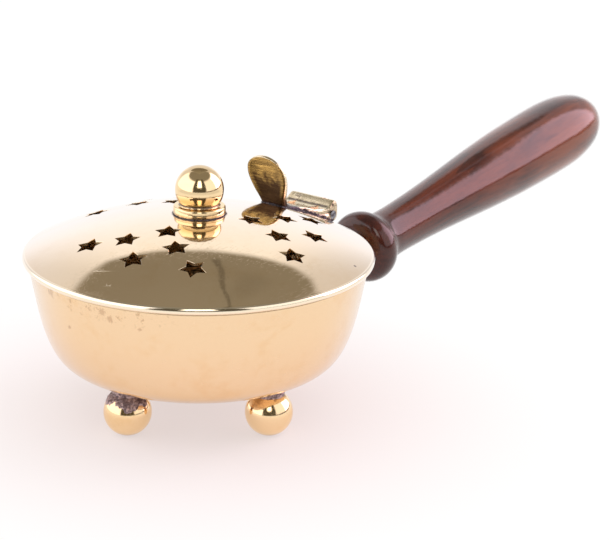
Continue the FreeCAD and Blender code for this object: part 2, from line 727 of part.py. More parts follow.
def make_grate():
    grate = new_body("ember_grate")
    sketch = new_sketch(grate, "XY_Plane", "grate_disc", dim["grate_z"])
    sketch.addGeometry(Part.Circle(Vector(0, 0, 0), Vector(0, 0, 1), dim["grate_radius"]), False)
    sketch.addConstraint(Sketcher.Constraint("Coincident", 0, 3, -1, 1))
    index = sketch.addConstraint(Sketcher.Constraint("Radius", 0, dim["grate_radius"]))
    sketch.setExpression("Constraints[%d]" % index, "dims.grate_radius")
    pad(grate, sketch, "dims.grate_thick")
    sketch = new_sketch(grate, "XY_Plane", "grate_holes", dim["grate_z"])
    for ring, count in GRATE_RINGS:
        # the rings of 12 and 24 holes are turned by half a step
        shift = 0.5 if count % 12 == 0 else 0.0
        for j in range(count):
            angle = 2 * math.pi * (j + shift) / count
            centre = Vector(ring * math.cos(angle), ring * math.sin(angle), 0)
            hole = sketch.addGeometry(
                Part.Circle(centre, Vector(0, 0, 1), dim["grate_hole"]), False)
            sketch.addConstraint(Sketcher.Constraint("Block", hole))
    cut_upwards(grate, sketch, least=200)
    finish(grate)


def make_pan_lugs():
    """Two upright lugs brazed on the pan's rim, at -Y and +Y, to lift it out by."""
    base_z, top_z = PAN_RIM_Z + dim["pan_wall"], 41.2
    lug = new_body("pan_lug")
    sketch = new_sketch(lug, "XZ_Plane", "lug_profile", 35.4)
    outline(sketch, "lug", (-5.0, base_z),
            ("lines", (5.0, base_z), (4.2, 39.7)),
            ("arc", (3.5, 40.7), (2.4, top_z)),
            ("lines", (-2.4, top_z)),
            ("arc", (-3.5, 40.7), (-4.2, 39.7)))
    pad(lug, sketch, 1.2)
    far_lug = doc.addObject("Part::Mirroring", "pan_lug_far")
    far_lug.Label = "pan_lug_far"
    far_lug.Source = lug
    far_lug.Normal = Vector(0, 1, 0)
    finish(group("pan_lugs", lug, far_lug))


# --------------------------------------------------------------------- build
bowl, bowl_fill = make_bowl()
drills = make_drills()
bowl_shell = finish(cut("bowl_shell", bowl, drills))
make_feet(bowl_shell, bowl_fill)
make_lid()
lid_fill = make_lid_fill()
make_knob_flange()
make_knob_ball()
make_knob_washer()
make_knob_screw()
leaf = make_leaf_blank()
lift = make_thumb_lift(lid_fill)
make_hinge_leaf(leaf, lift, lid_fill)
hinge_bracket = make_hinge_bracket(bowl_fill, drills)
make_hinge_pin()
handle_bracket = make_handle_bracket(bowl_fill, drills)
make_rivets("bracket_rivets", "socket", 3.35, bowl_shell, handle_bracket)
make_rivets("hinge_rivets", "hinge", 3.55, bowl_shell, hinge_bracket)
make_ferrule()
make_stud()
make_wooden_handle()
make_fire_pan()
make_grate()
make_pan_lugs()

# ----------------------------------------------------------------- write out
doc.recompute()
for obj in doc.Objects:
    if "Invalid" in obj.State or "Error" in obj.State:
        raise SystemExit("feature %s (%s): %s" % (obj.Name, obj.Label, obj.State))
for piece in pieces:
    shape = piece.Shape
    if shape.isNull() or not shape.isValid() or not shape.Solids:
        raise SystemExit("piece %s is not a valid solid" % piece.Label)
os.makedirs("parts", exist_ok=True)
for piece in pieces:
    piece.Shape.exportStep("parts/%s.step" % piece.Label)
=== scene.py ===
import bpy
import bmesh
import json
import math
import numpy as np
from mathutils import Vector, Matrix, noise, geometry


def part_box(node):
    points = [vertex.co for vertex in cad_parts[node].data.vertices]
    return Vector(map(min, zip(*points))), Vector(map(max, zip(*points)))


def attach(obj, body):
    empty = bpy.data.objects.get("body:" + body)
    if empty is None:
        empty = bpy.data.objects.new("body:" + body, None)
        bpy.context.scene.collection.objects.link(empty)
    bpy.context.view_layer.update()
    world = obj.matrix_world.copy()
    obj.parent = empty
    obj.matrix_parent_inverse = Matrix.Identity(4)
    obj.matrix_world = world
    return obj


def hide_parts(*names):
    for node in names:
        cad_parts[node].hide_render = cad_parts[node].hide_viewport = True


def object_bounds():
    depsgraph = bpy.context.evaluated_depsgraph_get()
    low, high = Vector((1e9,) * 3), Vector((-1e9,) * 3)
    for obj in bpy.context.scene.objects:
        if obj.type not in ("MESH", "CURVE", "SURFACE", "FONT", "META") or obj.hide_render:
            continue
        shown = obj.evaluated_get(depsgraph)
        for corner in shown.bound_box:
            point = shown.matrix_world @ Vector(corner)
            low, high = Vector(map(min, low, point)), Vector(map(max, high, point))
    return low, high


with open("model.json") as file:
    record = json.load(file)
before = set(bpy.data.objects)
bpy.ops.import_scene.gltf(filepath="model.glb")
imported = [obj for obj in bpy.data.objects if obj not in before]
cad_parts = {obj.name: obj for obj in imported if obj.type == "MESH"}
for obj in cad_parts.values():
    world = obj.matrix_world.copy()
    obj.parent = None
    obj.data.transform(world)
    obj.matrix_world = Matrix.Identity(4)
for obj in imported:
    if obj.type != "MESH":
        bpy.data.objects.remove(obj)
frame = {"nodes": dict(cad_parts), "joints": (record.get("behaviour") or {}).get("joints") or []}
cad_lo, cad_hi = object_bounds()
bpy.context.view_layer.update()

MM = 0.001
TAU = 2 * math.pi


def corners(node):
    """Corners of a CAD node in millimetres."""
    lo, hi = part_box(node)
    return np.array(lo) * 1000, np.array(hi) * 1000


# Measures of the object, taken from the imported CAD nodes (millimetres).
lid_lo, lid_hi = corners("lid_shell")
bowl_lo, bowl_hi = corners("bowl_shell")
fl_lo, fl_hi = corners("knob_flange")
kb_lo, kb_hi = corners("knob_ball")
ft_lo, ft_hi = corners("foot_front")
LID_R = (lid_hi[1] - lid_lo[1]) / 2              # 56.5
DOME_R = 126.6                                   # outer radius of the dome's sphere
DOME_TOP = 66.9
LID_DZ = lid_lo[2] - 51.75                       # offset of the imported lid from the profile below
BOWL_DZ = bowl_hi[2] - 51.55
DOME_C = DOME_TOP - DOME_R + LID_DZ
WALL_LID = 1.1
WALL_BOWL = 1.2
FOOT_C = [((corners(n)[0] + corners(n)[1]) / 2)[:2] for n in ("foot_handle_side", "foot_left", "foot_front", "foot_right")]
FOOT_NAMES = ("foot_handle_side", "foot_left", "foot_front", "foot_right")
FOOT_R = (ft_hi[0] - ft_lo[0]) / 2               # 7.7
HANDLE_TILT = math.radians(7.32)
HANDLE_AX = np.array([math.cos(HANDLE_TILT), 0, math.sin(HANDLE_TILT)])
HANDLE_UP = np.array([-math.sin(HANDLE_TILT), 0, math.cos(HANDLE_TILT)])
HANDLE_O = np.array([86.3, 0.0, 32.8])
PIN = np.array([59.5, 0.0, 54.5])
for j in frame["joints"]:
    if j["name"] == "lid_hinge":
        PIN = np.array(j["pos"] if "pos" in j else PIN * MM) * 1000


def dome_z(r, inset=0.0):
    return DOME_C + np.sqrt((DOME_R - inset) ** 2 - np.asarray(r, float) ** 2)


# ---------------------------------------------------------------- node helper
class Net:
    """Small helper that builds a node tree from expressions."""

    def __init__(self, tree):
        self.tree = tree
        tree.nodes.clear()

    def new(self, kind, **props):
        n = self.tree.nodes.new(kind)
        for k, v in props.items():
            setattr(n, k, v)
        return n

    def wire(self, sock, val):
        if isinstance(val, bpy.types.NodeSocket):
            self.tree.links.new(val, sock)
        else:
            if sock.type == "RGBA" and len(val) == 3:
                val = (*val, 1.0)
            sock.default_value = val

    def math(self, op, a, b=0.0, c=0.0, clamp=False):
        n = self.new("ShaderNodeMath", operation=op, use_clamp=clamp)
        for s, v in zip(n.inputs, (a, b, c)):
            self.wire(s, v)
        return n.outputs[0]

    def add(self, a, b):
        return self.math("ADD", a, b)

    def mul(self, a, b):
        return self.math("MULTIPLY", a, b)

    def inv(self, a):
        return self.math("SUBTRACT", 1.0, a)

    def dot(self, a, b):
        n = self.new("ShaderNodeVectorMath", operation="DOT_PRODUCT")
        self.wire(n.inputs[0], a)
        self.wire(n.inputs[1], b)
        return n.outputs["Value"]

    def length(self, a, b=(0, 0, 0)):
        n = self.new("ShaderNodeVectorMath", operation="DISTANCE")
        self.wire(n.inputs[0], a)
        self.wire(n.inputs[1], b)
        return n.outputs["Value"]

    def step(self, x, lo, hi, a=0.0, b=1.0):
        n = self.new("ShaderNodeMapRange", interpolation_type="SMOOTHSTEP")
        for k, v in (("Value", x), ("From Min", lo), ("From Max", hi), ("To Min", a), ("To Max", b)):
            self.wire(n.inputs[k], v)
        return n.outputs["Result"]

    def band(self, x, lo0, lo1, hi0, hi1):
        """1 between lo1 and hi0, soft outside."""
        return self.mul(self.step(x, lo0, lo1), self.step(x, hi0, hi1, 1.0, 0.0))

    def mix(self, f, a, b, blend="MIX"):
        n = self.new("ShaderNodeMix", data_type="RGBA", blend_type=blend)
        self.wire(n.inputs[0], f)
        self.wire(n.inputs[6], a)
        self.wire(n.inputs[7], b)
        return n.outputs[2]

    def map(self, vec, scale=(1, 1, 1), rot=(0, 0, 0), loc=(0, 0, 0)):
        n = self.new("ShaderNodeMapping")
        self.wire(n.inputs["Vector"], vec)
        n.inputs["Scale"].default_value = scale
        n.inputs["Rotation"].default_value = rot
        n.inputs["Location"].default_value = loc
        return n.outputs[0]

    def noise(self, vec, scale=1.0, detail=4.0, rough=0.5, distort=0.0):
        n = self.new("ShaderNodeTexNoise")
        self.wire(n.inputs["Vector"], vec)
        n.inputs["Scale"].default_value = scale
        n.inputs["Detail"].default_value = detail
        n.inputs["Roughness"].default_value = rough
        n.inputs["Distortion"].default_value = distort
        return n.outputs[0]

    def cells(self, vec, scale=1.0, feature="F1"):
        n = self.new("ShaderNodeTexVoronoi", feature=feature)
        self.wire(n.inputs["Vector"], vec)
        n.inputs["Scale"].default_value = scale
        return n.outputs["Distance"]

    def split(self, vec):
        n = self.new("ShaderNodeSeparateXYZ")
        self.wire(n.inputs[0], vec)
        return n.outputs

    def curve(self, x, points):
        """Piecewise-linear lookup; points are (x, value)."""
        x0, x1 = points[0][0], points[-1][0]
        lo = min(v for _, v in points)
        hi = max(v for _, v in points)
        n = self.new("ShaderNodeValToRGB")
        e = n.color_ramp.elements
        while len(e) < len(points):
            e.new(0.5)
        for k, (px, v) in enumerate(points):
            e[k].position = (px - x0) / (x1 - x0)
        for k, (px, v) in enumerate(points):
            g = (v - lo) / (hi - lo)
            e[k].color = (g, g, g, 1)
        m = self.new("ShaderNodeMapRange")
        self.wire(m.inputs["Value"], x)
        for key, val in (("From Min", x0), ("From Max", x1), ("To Min", 0.0), ("To Max", 1.0)):
            m.inputs[key].default_value = val
        self.wire(n.inputs[0], m.outputs["Result"])
        return self.add(self.mul(n.outputs["Color"], hi - lo), lo)

    def bump(self, height, distance, strength=1.0, normal=None):
        n = self.new("ShaderNodeBump")
        self.wire(n.inputs["Height"], height)
        n.inputs["Distance"].default_value = distance
        n.inputs["Strength"].default_value = strength
        if normal is not None:
            self.wire(n.inputs["Normal"], normal)
        return n.outputs[0]

    def mm(self):
        """The piece's own coordinates, in millimetres."""
        n = self.new("ShaderNodeTexCoord")
        v = self.new("ShaderNodeVectorMath", operation="SCALE")
        self.wire(v.inputs[0], n.outputs["Object"])
        v.inputs["Scale"].default_value = 1000.0
        return v.outputs[0]


def material(name):
    m = bpy.data.materials.new(name)
    m.use_nodes = True
    net = Net(m.node_tree)
    out = net.new("ShaderNodeOutputMaterial")
    p = net.new("ShaderNodeBsdfPrincipled")
    net.tree.links.new(p.outputs[0], out.inputs[0])
    return m, net, p


def seam_distance(net, co):
    """Distance of a point above the dome's outer surface, in millimetres."""
    return net.math("SUBTRACT", net.length(co, (0.0, 0.0, float(DOME_C))), DOME_R)


def scratches(net, co, seeds, lo=0.64, hi=0.72):
    """Fine hairlines in a few directions."""
    total = None
    for k, (rot, along, across) in enumerate(seeds):
        v = net.map(co, scale=(along, across, across), rot=rot, loc=(3.1 * k, 7.7 * k, 1.3 * k))
        s = net.step(net.noise(v, 1.0, 2.0, 0.5), lo, hi)
        total = s if total is None else net.math("MAXIMUM", total, s)
    return total


def brass(name, base, deep, rough, haze=0.35, hair=0.5, ripple=1.5e-5, ripple_size=0.045,
          pits=0.0, grain=None, extra=None, metallic=1.0, fine=6e-6, pale=None):
    """Polished or satin brass. base and deep are its light and dark tones."""
    m, net, p = material(name)
    co = net.mm()
    cloud = net.noise(co, 0.055, 5.0, 0.55, 0.6)
    mottled = net.noise(co, 0.33, 6.0, 0.6)
    tone = net.mul(net.step(net.add(net.mul(cloud, 0.65), net.mul(mottled, 0.35)), 0.46, 0.68), haze)
    colour = net.mix(tone, base, deep)
    hairs = scratches(net, co, (((0, 0, 0.4), 0.05, 3.2), ((0, 0, 1.7), 0.06, 4.1), ((0.3, 0, 2.6), 0.05, 2.6)))
    smear = net.step(net.noise(net.map(co, scale=(0.25, 0.08, 0.25)), 1.0, 4.0, 0.6), 0.45, 0.75)
    r = net.add(net.mul(smear, rough[1] - rough[0]), rough[0])
    r = net.add(r, net.mul(hairs, 0.10 * hair))
    height = net.noise(co, ripple_size, 2.0, 0.4)
    normal = net.bump(height, ripple / ripple_size * 0.045)
    normal = net.bump(net.mul(hairs, -1.0), fine * hair, 1.0, normal)
    if grain:
        g = net.noise(net.map(co, scale=grain[0], rot=grain[1]), 1.0, 3.0, 0.65)
        normal = net.bump(g, grain[2], 1.0, normal)
        colour = net.mix(net.mul(net.step(g, 0.42, 0.66), grain[3]), colour, deep)
        r = net.add(r, net.mul(g, 0.08))
    if pits:
        spot = net.cells(co, 0.42)
        where = net.step(net.noise(co, 0.12, 3.0, 0.5), 0.56, 0.66)
        dots = net.mul(net.step(spot, 0.05, 0.16, 1.0, 0.0), where)
        colour = net.mix(net.mul(dots, pits), colour, (0.16, 0.075, 0.035))
        r = net.add(r, net.mul(dots, 0.3 * pits))
    if extra:
        colour, r, normal = extra(net, co, colour, r, normal, p)
    if pale:
        # painted sheen: the colour is paled towards grazing angles, where metal whitens
        lw = net.new("ShaderNodeLayerWeight")
        lw.inputs["Blend"].default_value = 0.5
        colour = net.mix(net.mul(net.step(lw.outputs["Facing"], pale[1], pale[2]), pale[3]), colour, pale[0])
    net.wire(p.inputs["Base Color"], colour)
    net.wire(p.inputs["Roughness"], r)
    net.wire(p.inputs["Normal"], normal)
    p.inputs["Metallic"].default_value = metallic if not hasattr(p, "done") else metallic
    return m


# ---------------------------------------------------------------- materials
def lid_stains(net, co, colour, r, normal, p):
    x = net.split(co)
    # short hairline scratches on the left of the dome and a small dark fleck near the rim
    for a, b in (((-46.6, 3.4, 58.0), (-43.2, -5.6, 59.0)), ((-46.8, 3.2, 58.0), (-44.4, 1.4, 59.1)), ((-51.2, -4.6, 55.8), (-49.3, -7.3, 56.6)),
                 ((-50.9, -7.0, 55.8), (-49.5, -5.0, 56.6)), ((-50.4, -4.2, 56.0), (-50.0, -7.6, 56.3))):
        mid = tuple((np.array(a) + np.array(b)) / 2)
        axis = np.array(b) - np.array(a)
        size = float(np.linalg.norm(axis))
        axis = tuple(axis / size)
        rel = net.new("ShaderNodeVectorMath", operation="SUBTRACT")
        net.wire(rel.inputs[0], co)
        rel.inputs[1].default_value = mid
        along = net.dot(rel.outputs[0], axis)
        across = net.math("SQRT", net.math("MAXIMUM", net.math("SUBTRACT", net.dot(rel.outputs[0], rel.outputs[0]), net.mul(along, along)), 0.0))
        cut = net.mul(net.step(across, 0.05, 0.24, 1.0, 0.0), net.step(net.math("ABSOLUTE", along), size * 0.32, size * 0.5, 1.0, 0.0))
        r = net.add(r, net.mul(cut, 0.25))
        colour = net.mix(net.mul(cut, 0.5), colour, (1.0, 0.88, 0.70))
        normal = net.bump(net.mul(cut, -1.0), 2.2e-5, 1.0, normal)
    # painted highlight: the rolled rim band of the lid is painted paler so it reads brighter
    flat = net.map(co, scale=(1, 1, 0))
    colour = net.mix(net.mul(net.step(net.length(flat, (0.0, 0.0, 0.0)), 55.3, 55.9), 0.55), colour, (0.99, 0.90, 0.72))
    fleck = net.math("MAXIMUM", net.step(net.length(co, (16.4, -49.9, 55.5)), 0.32, 0.62, 1.0, 0.0),
                     net.step(net.length(co, (28.0, 40.0, 57.1)), 0.15, 0.3, 1.0, 0.0))
    colour = net.mix(fleck, colour, (0.10, 0.04, 0.02))
    # a dark ring at the knob
    knob = net.length(co, (0.0, 0.0, DOME_TOP + LID_DZ))
    ring = net.band(net.add(knob, net.mul(net.noise(co, 0.8, 3.0, 0.6), 0.9)), 8.2, 8.8, 9.0, 9.7)
    colour = net.mix(net.mul(ring, 0.8), colour, (0.10, 0.055, 0.06))
    r = net.add(r, net.mul(ring, 0.35))
    return colour, r, normal


def bowl_stains(net, co, colour, r, normal, p):
    x = net.split(co)
    under_rim = net.band(x[2], 44.0, 49.0, 50.6, 51.4)
    n = net.noise(co, 0.55, 5.0, 0.65)
    side = net.step(net.dot(co, (-0.985, -0.17, 0.0)), 47.5, 53.0)
    stain = net.mul(net.mul(under_rim, net.step(n, 0.56, 0.66)), net.mul(side, 0.4))
    colour = net.mix(stain, colour, (0.38, 0.19, 0.08))
    r = net.add(r, net.mul(stain, 0.2))
    spots = net.mul(net.step(net.cells(co, 0.30), 0.05, 0.13, 1.0, 0.0), net.step(net.noise(co, 0.07, 2.0, 0.5), 0.52, 0.62))
    spots = net.mul(net.mul(spots, net.step(x[2], 26.0, 44.0)), net.add(net.mul(side, 0.7), 0.03))
    colour = net.mix(net.mul(spots, 0.4), colour, (0.24, 0.10, 0.045))
    for spot, size in (((-52.1, 15.5, 50.0), 1.5), ((-53.7, -7.1, 49.2), 1.3), ((-53.0, -9.5, 47.3), 1.0), ((-50.0, -19.2, 45.7), 0.55),
                       ((-52.0, 8.0, 40.3), 0.6), ((-53.4, -2.0, 49.6), 0.9)):
        d = net.add(net.length(co, spot), net.mul(net.math("SUBTRACT", n, 0.5), 5.0))
        mark = net.step(d, size * 0.5, size * 1.35, 1.0, 0.0)
        colour = net.mix(net.mul(mark, 0.34), colour, (0.30, 0.13, 0.06))
    # painted shadow: the top of the bowl's lip, in the gap under the lid's rolled band, is painted dark
    lip = net.step(x[2], 50.9, 51.5)
    colour = net.mix(net.mul(lip, 0.85), colour, (0.26, 0.13, 0.06))
    colour = net.mix(net.mul(net.step(x[2], 15.0, 27.0, 1.0, 0.0), 0.6), colour, (0.87, 0.57, 0.28))
    # old polish and oxide left round the feet and on the underside
    below = net.step(x[2], 15.2, 18.5, 1.0, 0.0)
    colour = net.mix(net.mul(below, net.step(net.noise(co, 0.16, 5.0, 0.6), 0.42, 0.62)), colour, (0.46, 0.27, 0.14))
    r = net.add(r, net.mul(below, 0.12))
    return colour, r, normal


def cast_stains(net, co, colour, r, normal, p):
    """Soldered castings on the lid: dark oxide in the seam and a burnt foot."""
    x = net.split(co)
    seam = seam_distance(net, co)
    n = net.noise(co, 0.75, 4.0, 0.6)
    edge = net.add(seam, net.mul(net.math("SUBTRACT", n, 0.5), 2.4))
    dark = net.step(edge, 0.5, 1.35, 1.0, 0.0)
    colour = net.mix(net.mul(dark, 0.93), colour, net.mix(net.step(n, 0.4, 0.6), (0.035, 0.022, 0.035), (0.16, 0.12, 0.18)))
    scorch = net.noise(co, 0.30, 4.0, 0.62)
    burnt = net.mul(net.step(net.add(seam, net.mul(scorch, 11.0)), 12.6, 16.6, 1.0, 0.0), net.step(x[0], 44.0, 47.0, 1.0, 0.0))
    wide = net.curve(seam, [(0.0, 4.7), (3.0, 5.3), (6.5, 6.6), (10.0, 7.65), (13.0, 7.8)])
    rub = net.mul(net.step(net.math("SUBTRACT", net.math("ABSOLUTE", x[1]), wide), -1.9, -0.7), net.step(seam, 1.5, 4.5))
    burnt = net.mul(burnt, net.math("SUBTRACT", 1.0, net.mul(rub, 0.75)))
    cuts = net.noise(net.map(co, scale=(0.5, 0.20, 7.0), rot=(0.2, 0, 0)), 1.0, 2.0, 0.5)
    colour = net.mix(net.mul(net.step(cuts, 0.56, 0.66), 0.75), colour, (0.88, 0.67, 0.28))
    colour = net.mix(net.mul(net.step(cuts, 0.36, 0.44, 1.0, 0.0), 0.6), colour, (0.10, 0.065, 0.03))
    colour = net.mix(net.mul(burnt, 0.90), colour, (0.050, 0.024, 0.018))
    r = net.add(r, net.mul(net.math("MAXIMUM", dark, burnt), 0.22))
    # the rounded edge is painted bright, partly rubbed wear and partly a painted highlight, with a painted shade line
    # where it meets the face
    tcn = net.new("ShaderNodeTexCoord")
    flat = net.math("ABSOLUTE", net.dot(tcn.outputs["Normal"], (-0.9397, 0.0, -0.3420)))
    high = net.step(seam, 2.2, 5.0)
    edge_shade_line = net.mul(net.band(flat, 0.86, 0.90, 0.95, 0.985), 0.6)
    colour = net.mix(edge_shade_line, colour, (0.16, 0.09, 0.04))
    edge_wear_and_highlight = net.mul(net.step(flat, 0.62, 0.87, 1.0, 0.0), high)
    colour = net.mix(net.mul(edge_wear_and_highlight, 0.92), colour, (0.92, 0.76, 0.54))
    r = net.math("SUBTRACT", r, net.mul(edge_wear_and_highlight, 0.06))
    return colour, r, normal


def leaf_stains(net, co, colour, r, normal, p):
    x = net.split(co)
    seam = seam_distance(net, co)
    n = net.noise(co, 0.75, 4.0, 0.6)
    edge = net.add(seam, net.mul(net.math("SUBTRACT", n, 0.5), 3.6))
    dark = net.step(edge, 0.8, 1.5, 1.0, 0.0)
    tcn = net.new("ShaderNodeTexCoord")
    nz = net.dot(tcn.outputs["Normal"], (0.0, 0.0, 1.0))
    up = net.step(nz, 0.25, 0.5)
    cheek = net.step(net.math("ABSOLUTE", net.dot(tcn.outputs["Normal"], (0.0, 1.0, 0.0))), 0.45, 0.75)
    colour = net.mix(net.mul(cheek, 0.75), colour, (0.56, 0.43, 0.29))
    r = net.add(r, net.mul(cheek, 0.10))
    strokes = net.noise(net.map(co, scale=(2.2, 0.5, 0.35), rot=(0.0, 0.5, 0.0)), 1.0, 3.0, 0.6)
    colour = net.mix(net.mul(net.mul(net.step(strokes, 0.54, 0.66), cheek), 0.6), colour, (0.22, 0.13, 0.09))
    # painted light: the up-facing floor of the scoop is painted paler, standing in for a brighter reflection there
    scoop_floor_painted_light = net.mul(net.step(x[0], 57.0, 57.5, 1.0, 0.0), up)
    colour = net.mix(net.mul(scoop_floor_painted_light, 0.6), colour, (0.98, 0.88, 0.68))
    valley = net.mul(net.band(net.add(x[0], net.mul(n, 0.5)), 57.35, 57.6, 57.95, 58.2), up)
    valley = net.mul(valley, net.step(net.math("ABSOLUTE", x[1]), 8.0, 8.6, 1.0, 0.0))
    pit = net.mul(net.step(net.length(net.map(co, scale=(1, 0, 1)), (59.2, 0.0, 58.0)), 0.25, 0.7, 1.0, 0.0), 0.9)
    both = net.math("MAXIMUM", dark, net.math("MAXIMUM", net.mul(valley, 0.8), pit))
    colour = net.mix(net.mul(both, 0.93), colour, net.mix(net.step(n, 0.4, 0.62), (0.03, 0.018, 0.03), (0.14, 0.10, 0.17)))
    file_marks = net.noise(net.map(co, scale=(2.6, 0.3, 0.25)), 1.0, 3.0, 0.7)
    colour = net.mix(net.mul(net.step(file_marks, 0.56, 0.7), 0.55), colour, (0.20, 0.12, 0.08))
    normal = net.bump(file_marks, 4e-5, 1.0, normal)
    r = net.add(r, net.mul(both, 0.3))
    return colour, r, normal


def knob_stains(net, co, colour, r, normal, p):
    x = net.split(co)
    n = net.noise(co, 0.9, 4.0, 0.6)
    zz = net.add(x[2], net.mul(net.math("SUBTRACT", n, 0.5), 1.2))
    neck = net.band(zz, float(kb_lo[2]) - 0.75, float(kb_lo[2]) - 0.3, float(kb_lo[2]) + 0.0, float(kb_lo[2]) + 0.5)
    base = net.step(zz, float(fl_lo[2]) + 0.25, float(fl_lo[2]) + 1.0, 1.0, 0.0)
    dark = net.math("MAXIMUM", neck, base)
    colour = net.mix(net.mul(dark, 0.85), colour, (0.07, 0.035, 0.03))
    specks = net.mul(net.step(net.cells(co, 0.55), 0.06, 0.14, 1.0, 0.0), net.band(x[2], 70.5, 72.0, 73.0, 74.0))
    colour = net.mix(net.mul(specks, 0.8), colour, (0.12, 0.05, 0.02))
    r = net.add(r, net.mul(dark, 0.3))
    # painted shade: a deeper tone under the ball and a darker cap on top, standing in for the darker reflections there
    tcn = net.new("ShaderNodeTexCoord")
    nz = net.dot(tcn.outputs["Normal"], (0.0, 0.0, 1.0))
    ball = net.step(x[2], float(kb_lo[2]) + 0.5, float(kb_lo[2]) + 1.5)
    colour = net.mix(net.mul(net.mul(net.step(nz, -0.35, 0.0, 1.0, 0.0), ball), 0.75), colour, (0.66, 0.43, 0.16))
    colour = net.mix(net.mul(net.mul(net.step(nz, 0.84, 0.95), ball), 0.55), colour, (0.50, 0.36, 0.19))
    return colour, r, normal


def foot_stains(net, co, colour, r, normal, p):
    x = net.split(co)
    n = net.noise(co, 0.6, 5.0, 0.6)
    top = net.step(net.add(x[2], net.mul(net.math("SUBTRACT", n, 0.5), 5.0)), 13.2, 14.6)
    colour = net.mix(net.mul(top, 0.75), colour, (0.16, 0.075, 0.04))
    sole = net.step(x[2], 0.6, 2.2, 1.0, 0.0)
    colour = net.mix(net.mul(sole, 0.5), colour, (0.35, 0.19, 0.09))
    r = net.add(r, net.mul(top, 0.25))
    return colour, r, normal


def soot(net, co, colour, r, normal, p):
    x = net.split(co)
    n = net.noise(co, 0.18, 6.0, 0.65)
    black = net.step(net.add(n, net.step(x[2], 18.0, 40.0, 0.16, -0.06)), 0.48, 0.68)
    colour = net.mix(net.mul(black, 0.72), colour, (0.035, 0.028, 0.024))
    r = net.add(r, net.mul(black, 0.35))
    normal = net.bump(net.noise(co, 1.6, 4.0, 0.6), 3e-5, 1.0, normal)
    return colour, r, normal


BASE_LID = (0.945, 0.745, 0.515)
DEEP_LID = (0.90, 0.67, 0.42)
BASE_GOLD = (0.955, 0.72, 0.42)
DEEP_GOLD = (0.80, 0.52, 0.22)
M_LID = brass("lid_polished_brass", BASE_LID, DEEP_LID, (0.035, 0.085), haze=0.5, hair=0.45, ripple=1.1e-5,
              ripple_size=0.06, extra=lid_stains, pale=((0.97, 0.90, 0.87), 0.42, 0.97, 0.85))
M_LID_UNDER = brass("lid_underside_brass", (0.74, 0.52, 0.27), (0.36, 0.20, 0.09), (0.22, 0.36), haze=0.8, hair=1.0, extra=soot)
M_BOWL = brass("bowl_satin_brass", (0.915, 0.665, 0.42), (0.885, 0.595, 0.33), (0.17, 0.25), haze=0.7, hair=0.8,
               ripple=1.2e-5, extra=bowl_stains, pale=((0.83, 0.70, 0.60), 0.42, 1.0, 0.7))
M_BOWL_IN = brass("bowl_inner_brass", (0.72, 0.50, 0.26), (0.36, 0.20, 0.09), (0.26, 0.42), haze=0.8, hair=1.0, extra=soot)
M_KNOB = brass("knob_polished_brass", BASE_GOLD, DEEP_GOLD, (0.03, 0.07), haze=0.4, hair=0.5, ripple=0.8e-5,
               ripple_size=0.2, extra=knob_stains)
M_FOOT = brass("foot_polished_brass", (0.965, 0.71, 0.42), (0.86, 0.56, 0.25), (0.05, 0.13), haze=0.5, hair=0.8, ripple=1.0e-5,
               ripple_size=0.2, extra=foot_stains)
M_CAST = brass("cast_filed_brass", (0.44, 0.32, 0.125), (0.17, 0.115, 0.05), (0.18, 0.27), haze=0.7, hair=1.0,
               grain=((0.35, 0.16, 3.2), (0.12, 0, 0), 9e-5, 0.8), extra=cast_stains)
M_LEAF = brass("hinge_filed_brass", (0.97, 0.83, 0.58), (0.66, 0.52, 0.33), (0.17, 0.28), haze=0.7, hair=1.2,
               grain=((1.6, 0.12, 0.8), (0, 0, 0), 1.6e-5, 0.3), extra=leaf_stains)
M_BRACKET = brass("bracket_brass", (0.92, 0.68, 0.40), (0.55, 0.34, 0.15), (0.16, 0.30), haze=0.8, hair=1.2, pits=0.7,
                  grain=((0.2, 2.4, 0.2), (0, 0, 0.3), 2e-5, 0.35))
M_RIVET = brass("rivet_brass", (0.90, 0.66, 0.38), (0.42, 0.24, 0.10), (0.18, 0.34), haze=0.9, hair=1.5, pits=0.8,
                grain=((1.4, 1.4, 1.4), (0.2, 0, 0.3), 3e-5, 0.4))
M_PAN = brass("pan_heat_stained_brass", (0.66, 0.44, 0.22), (0.26, 0.14, 0.07), (0.24, 0.44), haze=1.0, hair=1.2, pits=0.8, extra=soot)
M_GRATE = brass("grate_scorched_brass", (0.50, 0.33, 0.17), (0.16, 0.09, 0.05), (0.34, 0.55), haze=1.0, hair=1.4, pits=1.0, extra=soot)


def steel():
    m, net, p = material("steel_pin")
    co = net.mm()
    n = net.noise(co, 0.9, 5.0, 0.6)
    turned = net.noise(net.map(co, scale=(1.2, 3.5, 1.2)), 1.0, 3.0, 0.6)
    colour = net.mix(net.step(n, 0.42, 0.62), (0.30, 0.30, 0.33), (0.075, 0.06, 0.07))
    net.wire(p.inputs["Base Color"], colour)
    p.inputs["Metallic"].default_value = 0.9
    net.wire(p.inputs["Roughness"], net.add(net.mul(turned, 0.3), 0.22))
    net.wire(p.inputs["Normal"], net.bump(net.add(turned, n), 3e-5))
    return m


def oxide(name, light, dark, glitter=0.25):
    """Burnt flux and solder left round a joint: rough, purple-brown, with pale specks."""
    m, net, p = material(name)
    co = net.mm()
    a = net.noise(co, 0.85, 6.0, 0.68, 0.8)
    b = net.noise(co, 2.6, 4.0, 0.6)
    c = net.cells(net.map(co, scale=(1, 1, 1.3)), 1.1)
    colour = net.mix(net.step(a, 0.40, 0.62), dark, light)
    colour = net.mix(net.mul(net.step(b, 0.58, 0.72), glitter), colour, (0.62, 0.47, 0.46))
    colour = net.mix(net.mul(net.step(c, 0.05, 0.22, 1.0, 0.0), 0.5), colour, (0.02, 0.012, 0.014))
    net.wire(p.inputs["Base Color"], colour)
    p.inputs["Metallic"].default_value = 0.35
    net.wire(p.inputs["Roughness"], net.step(b, 0.35, 0.7, 0.36, 0.72))
    h = net.add(net.mul(a, 1.4), net.add(net.mul(b, 0.6), net.mul(c, 0.5)))
    net.wire(p.inputs["Normal"], net.bump(h, 2.6e-4))
    return m


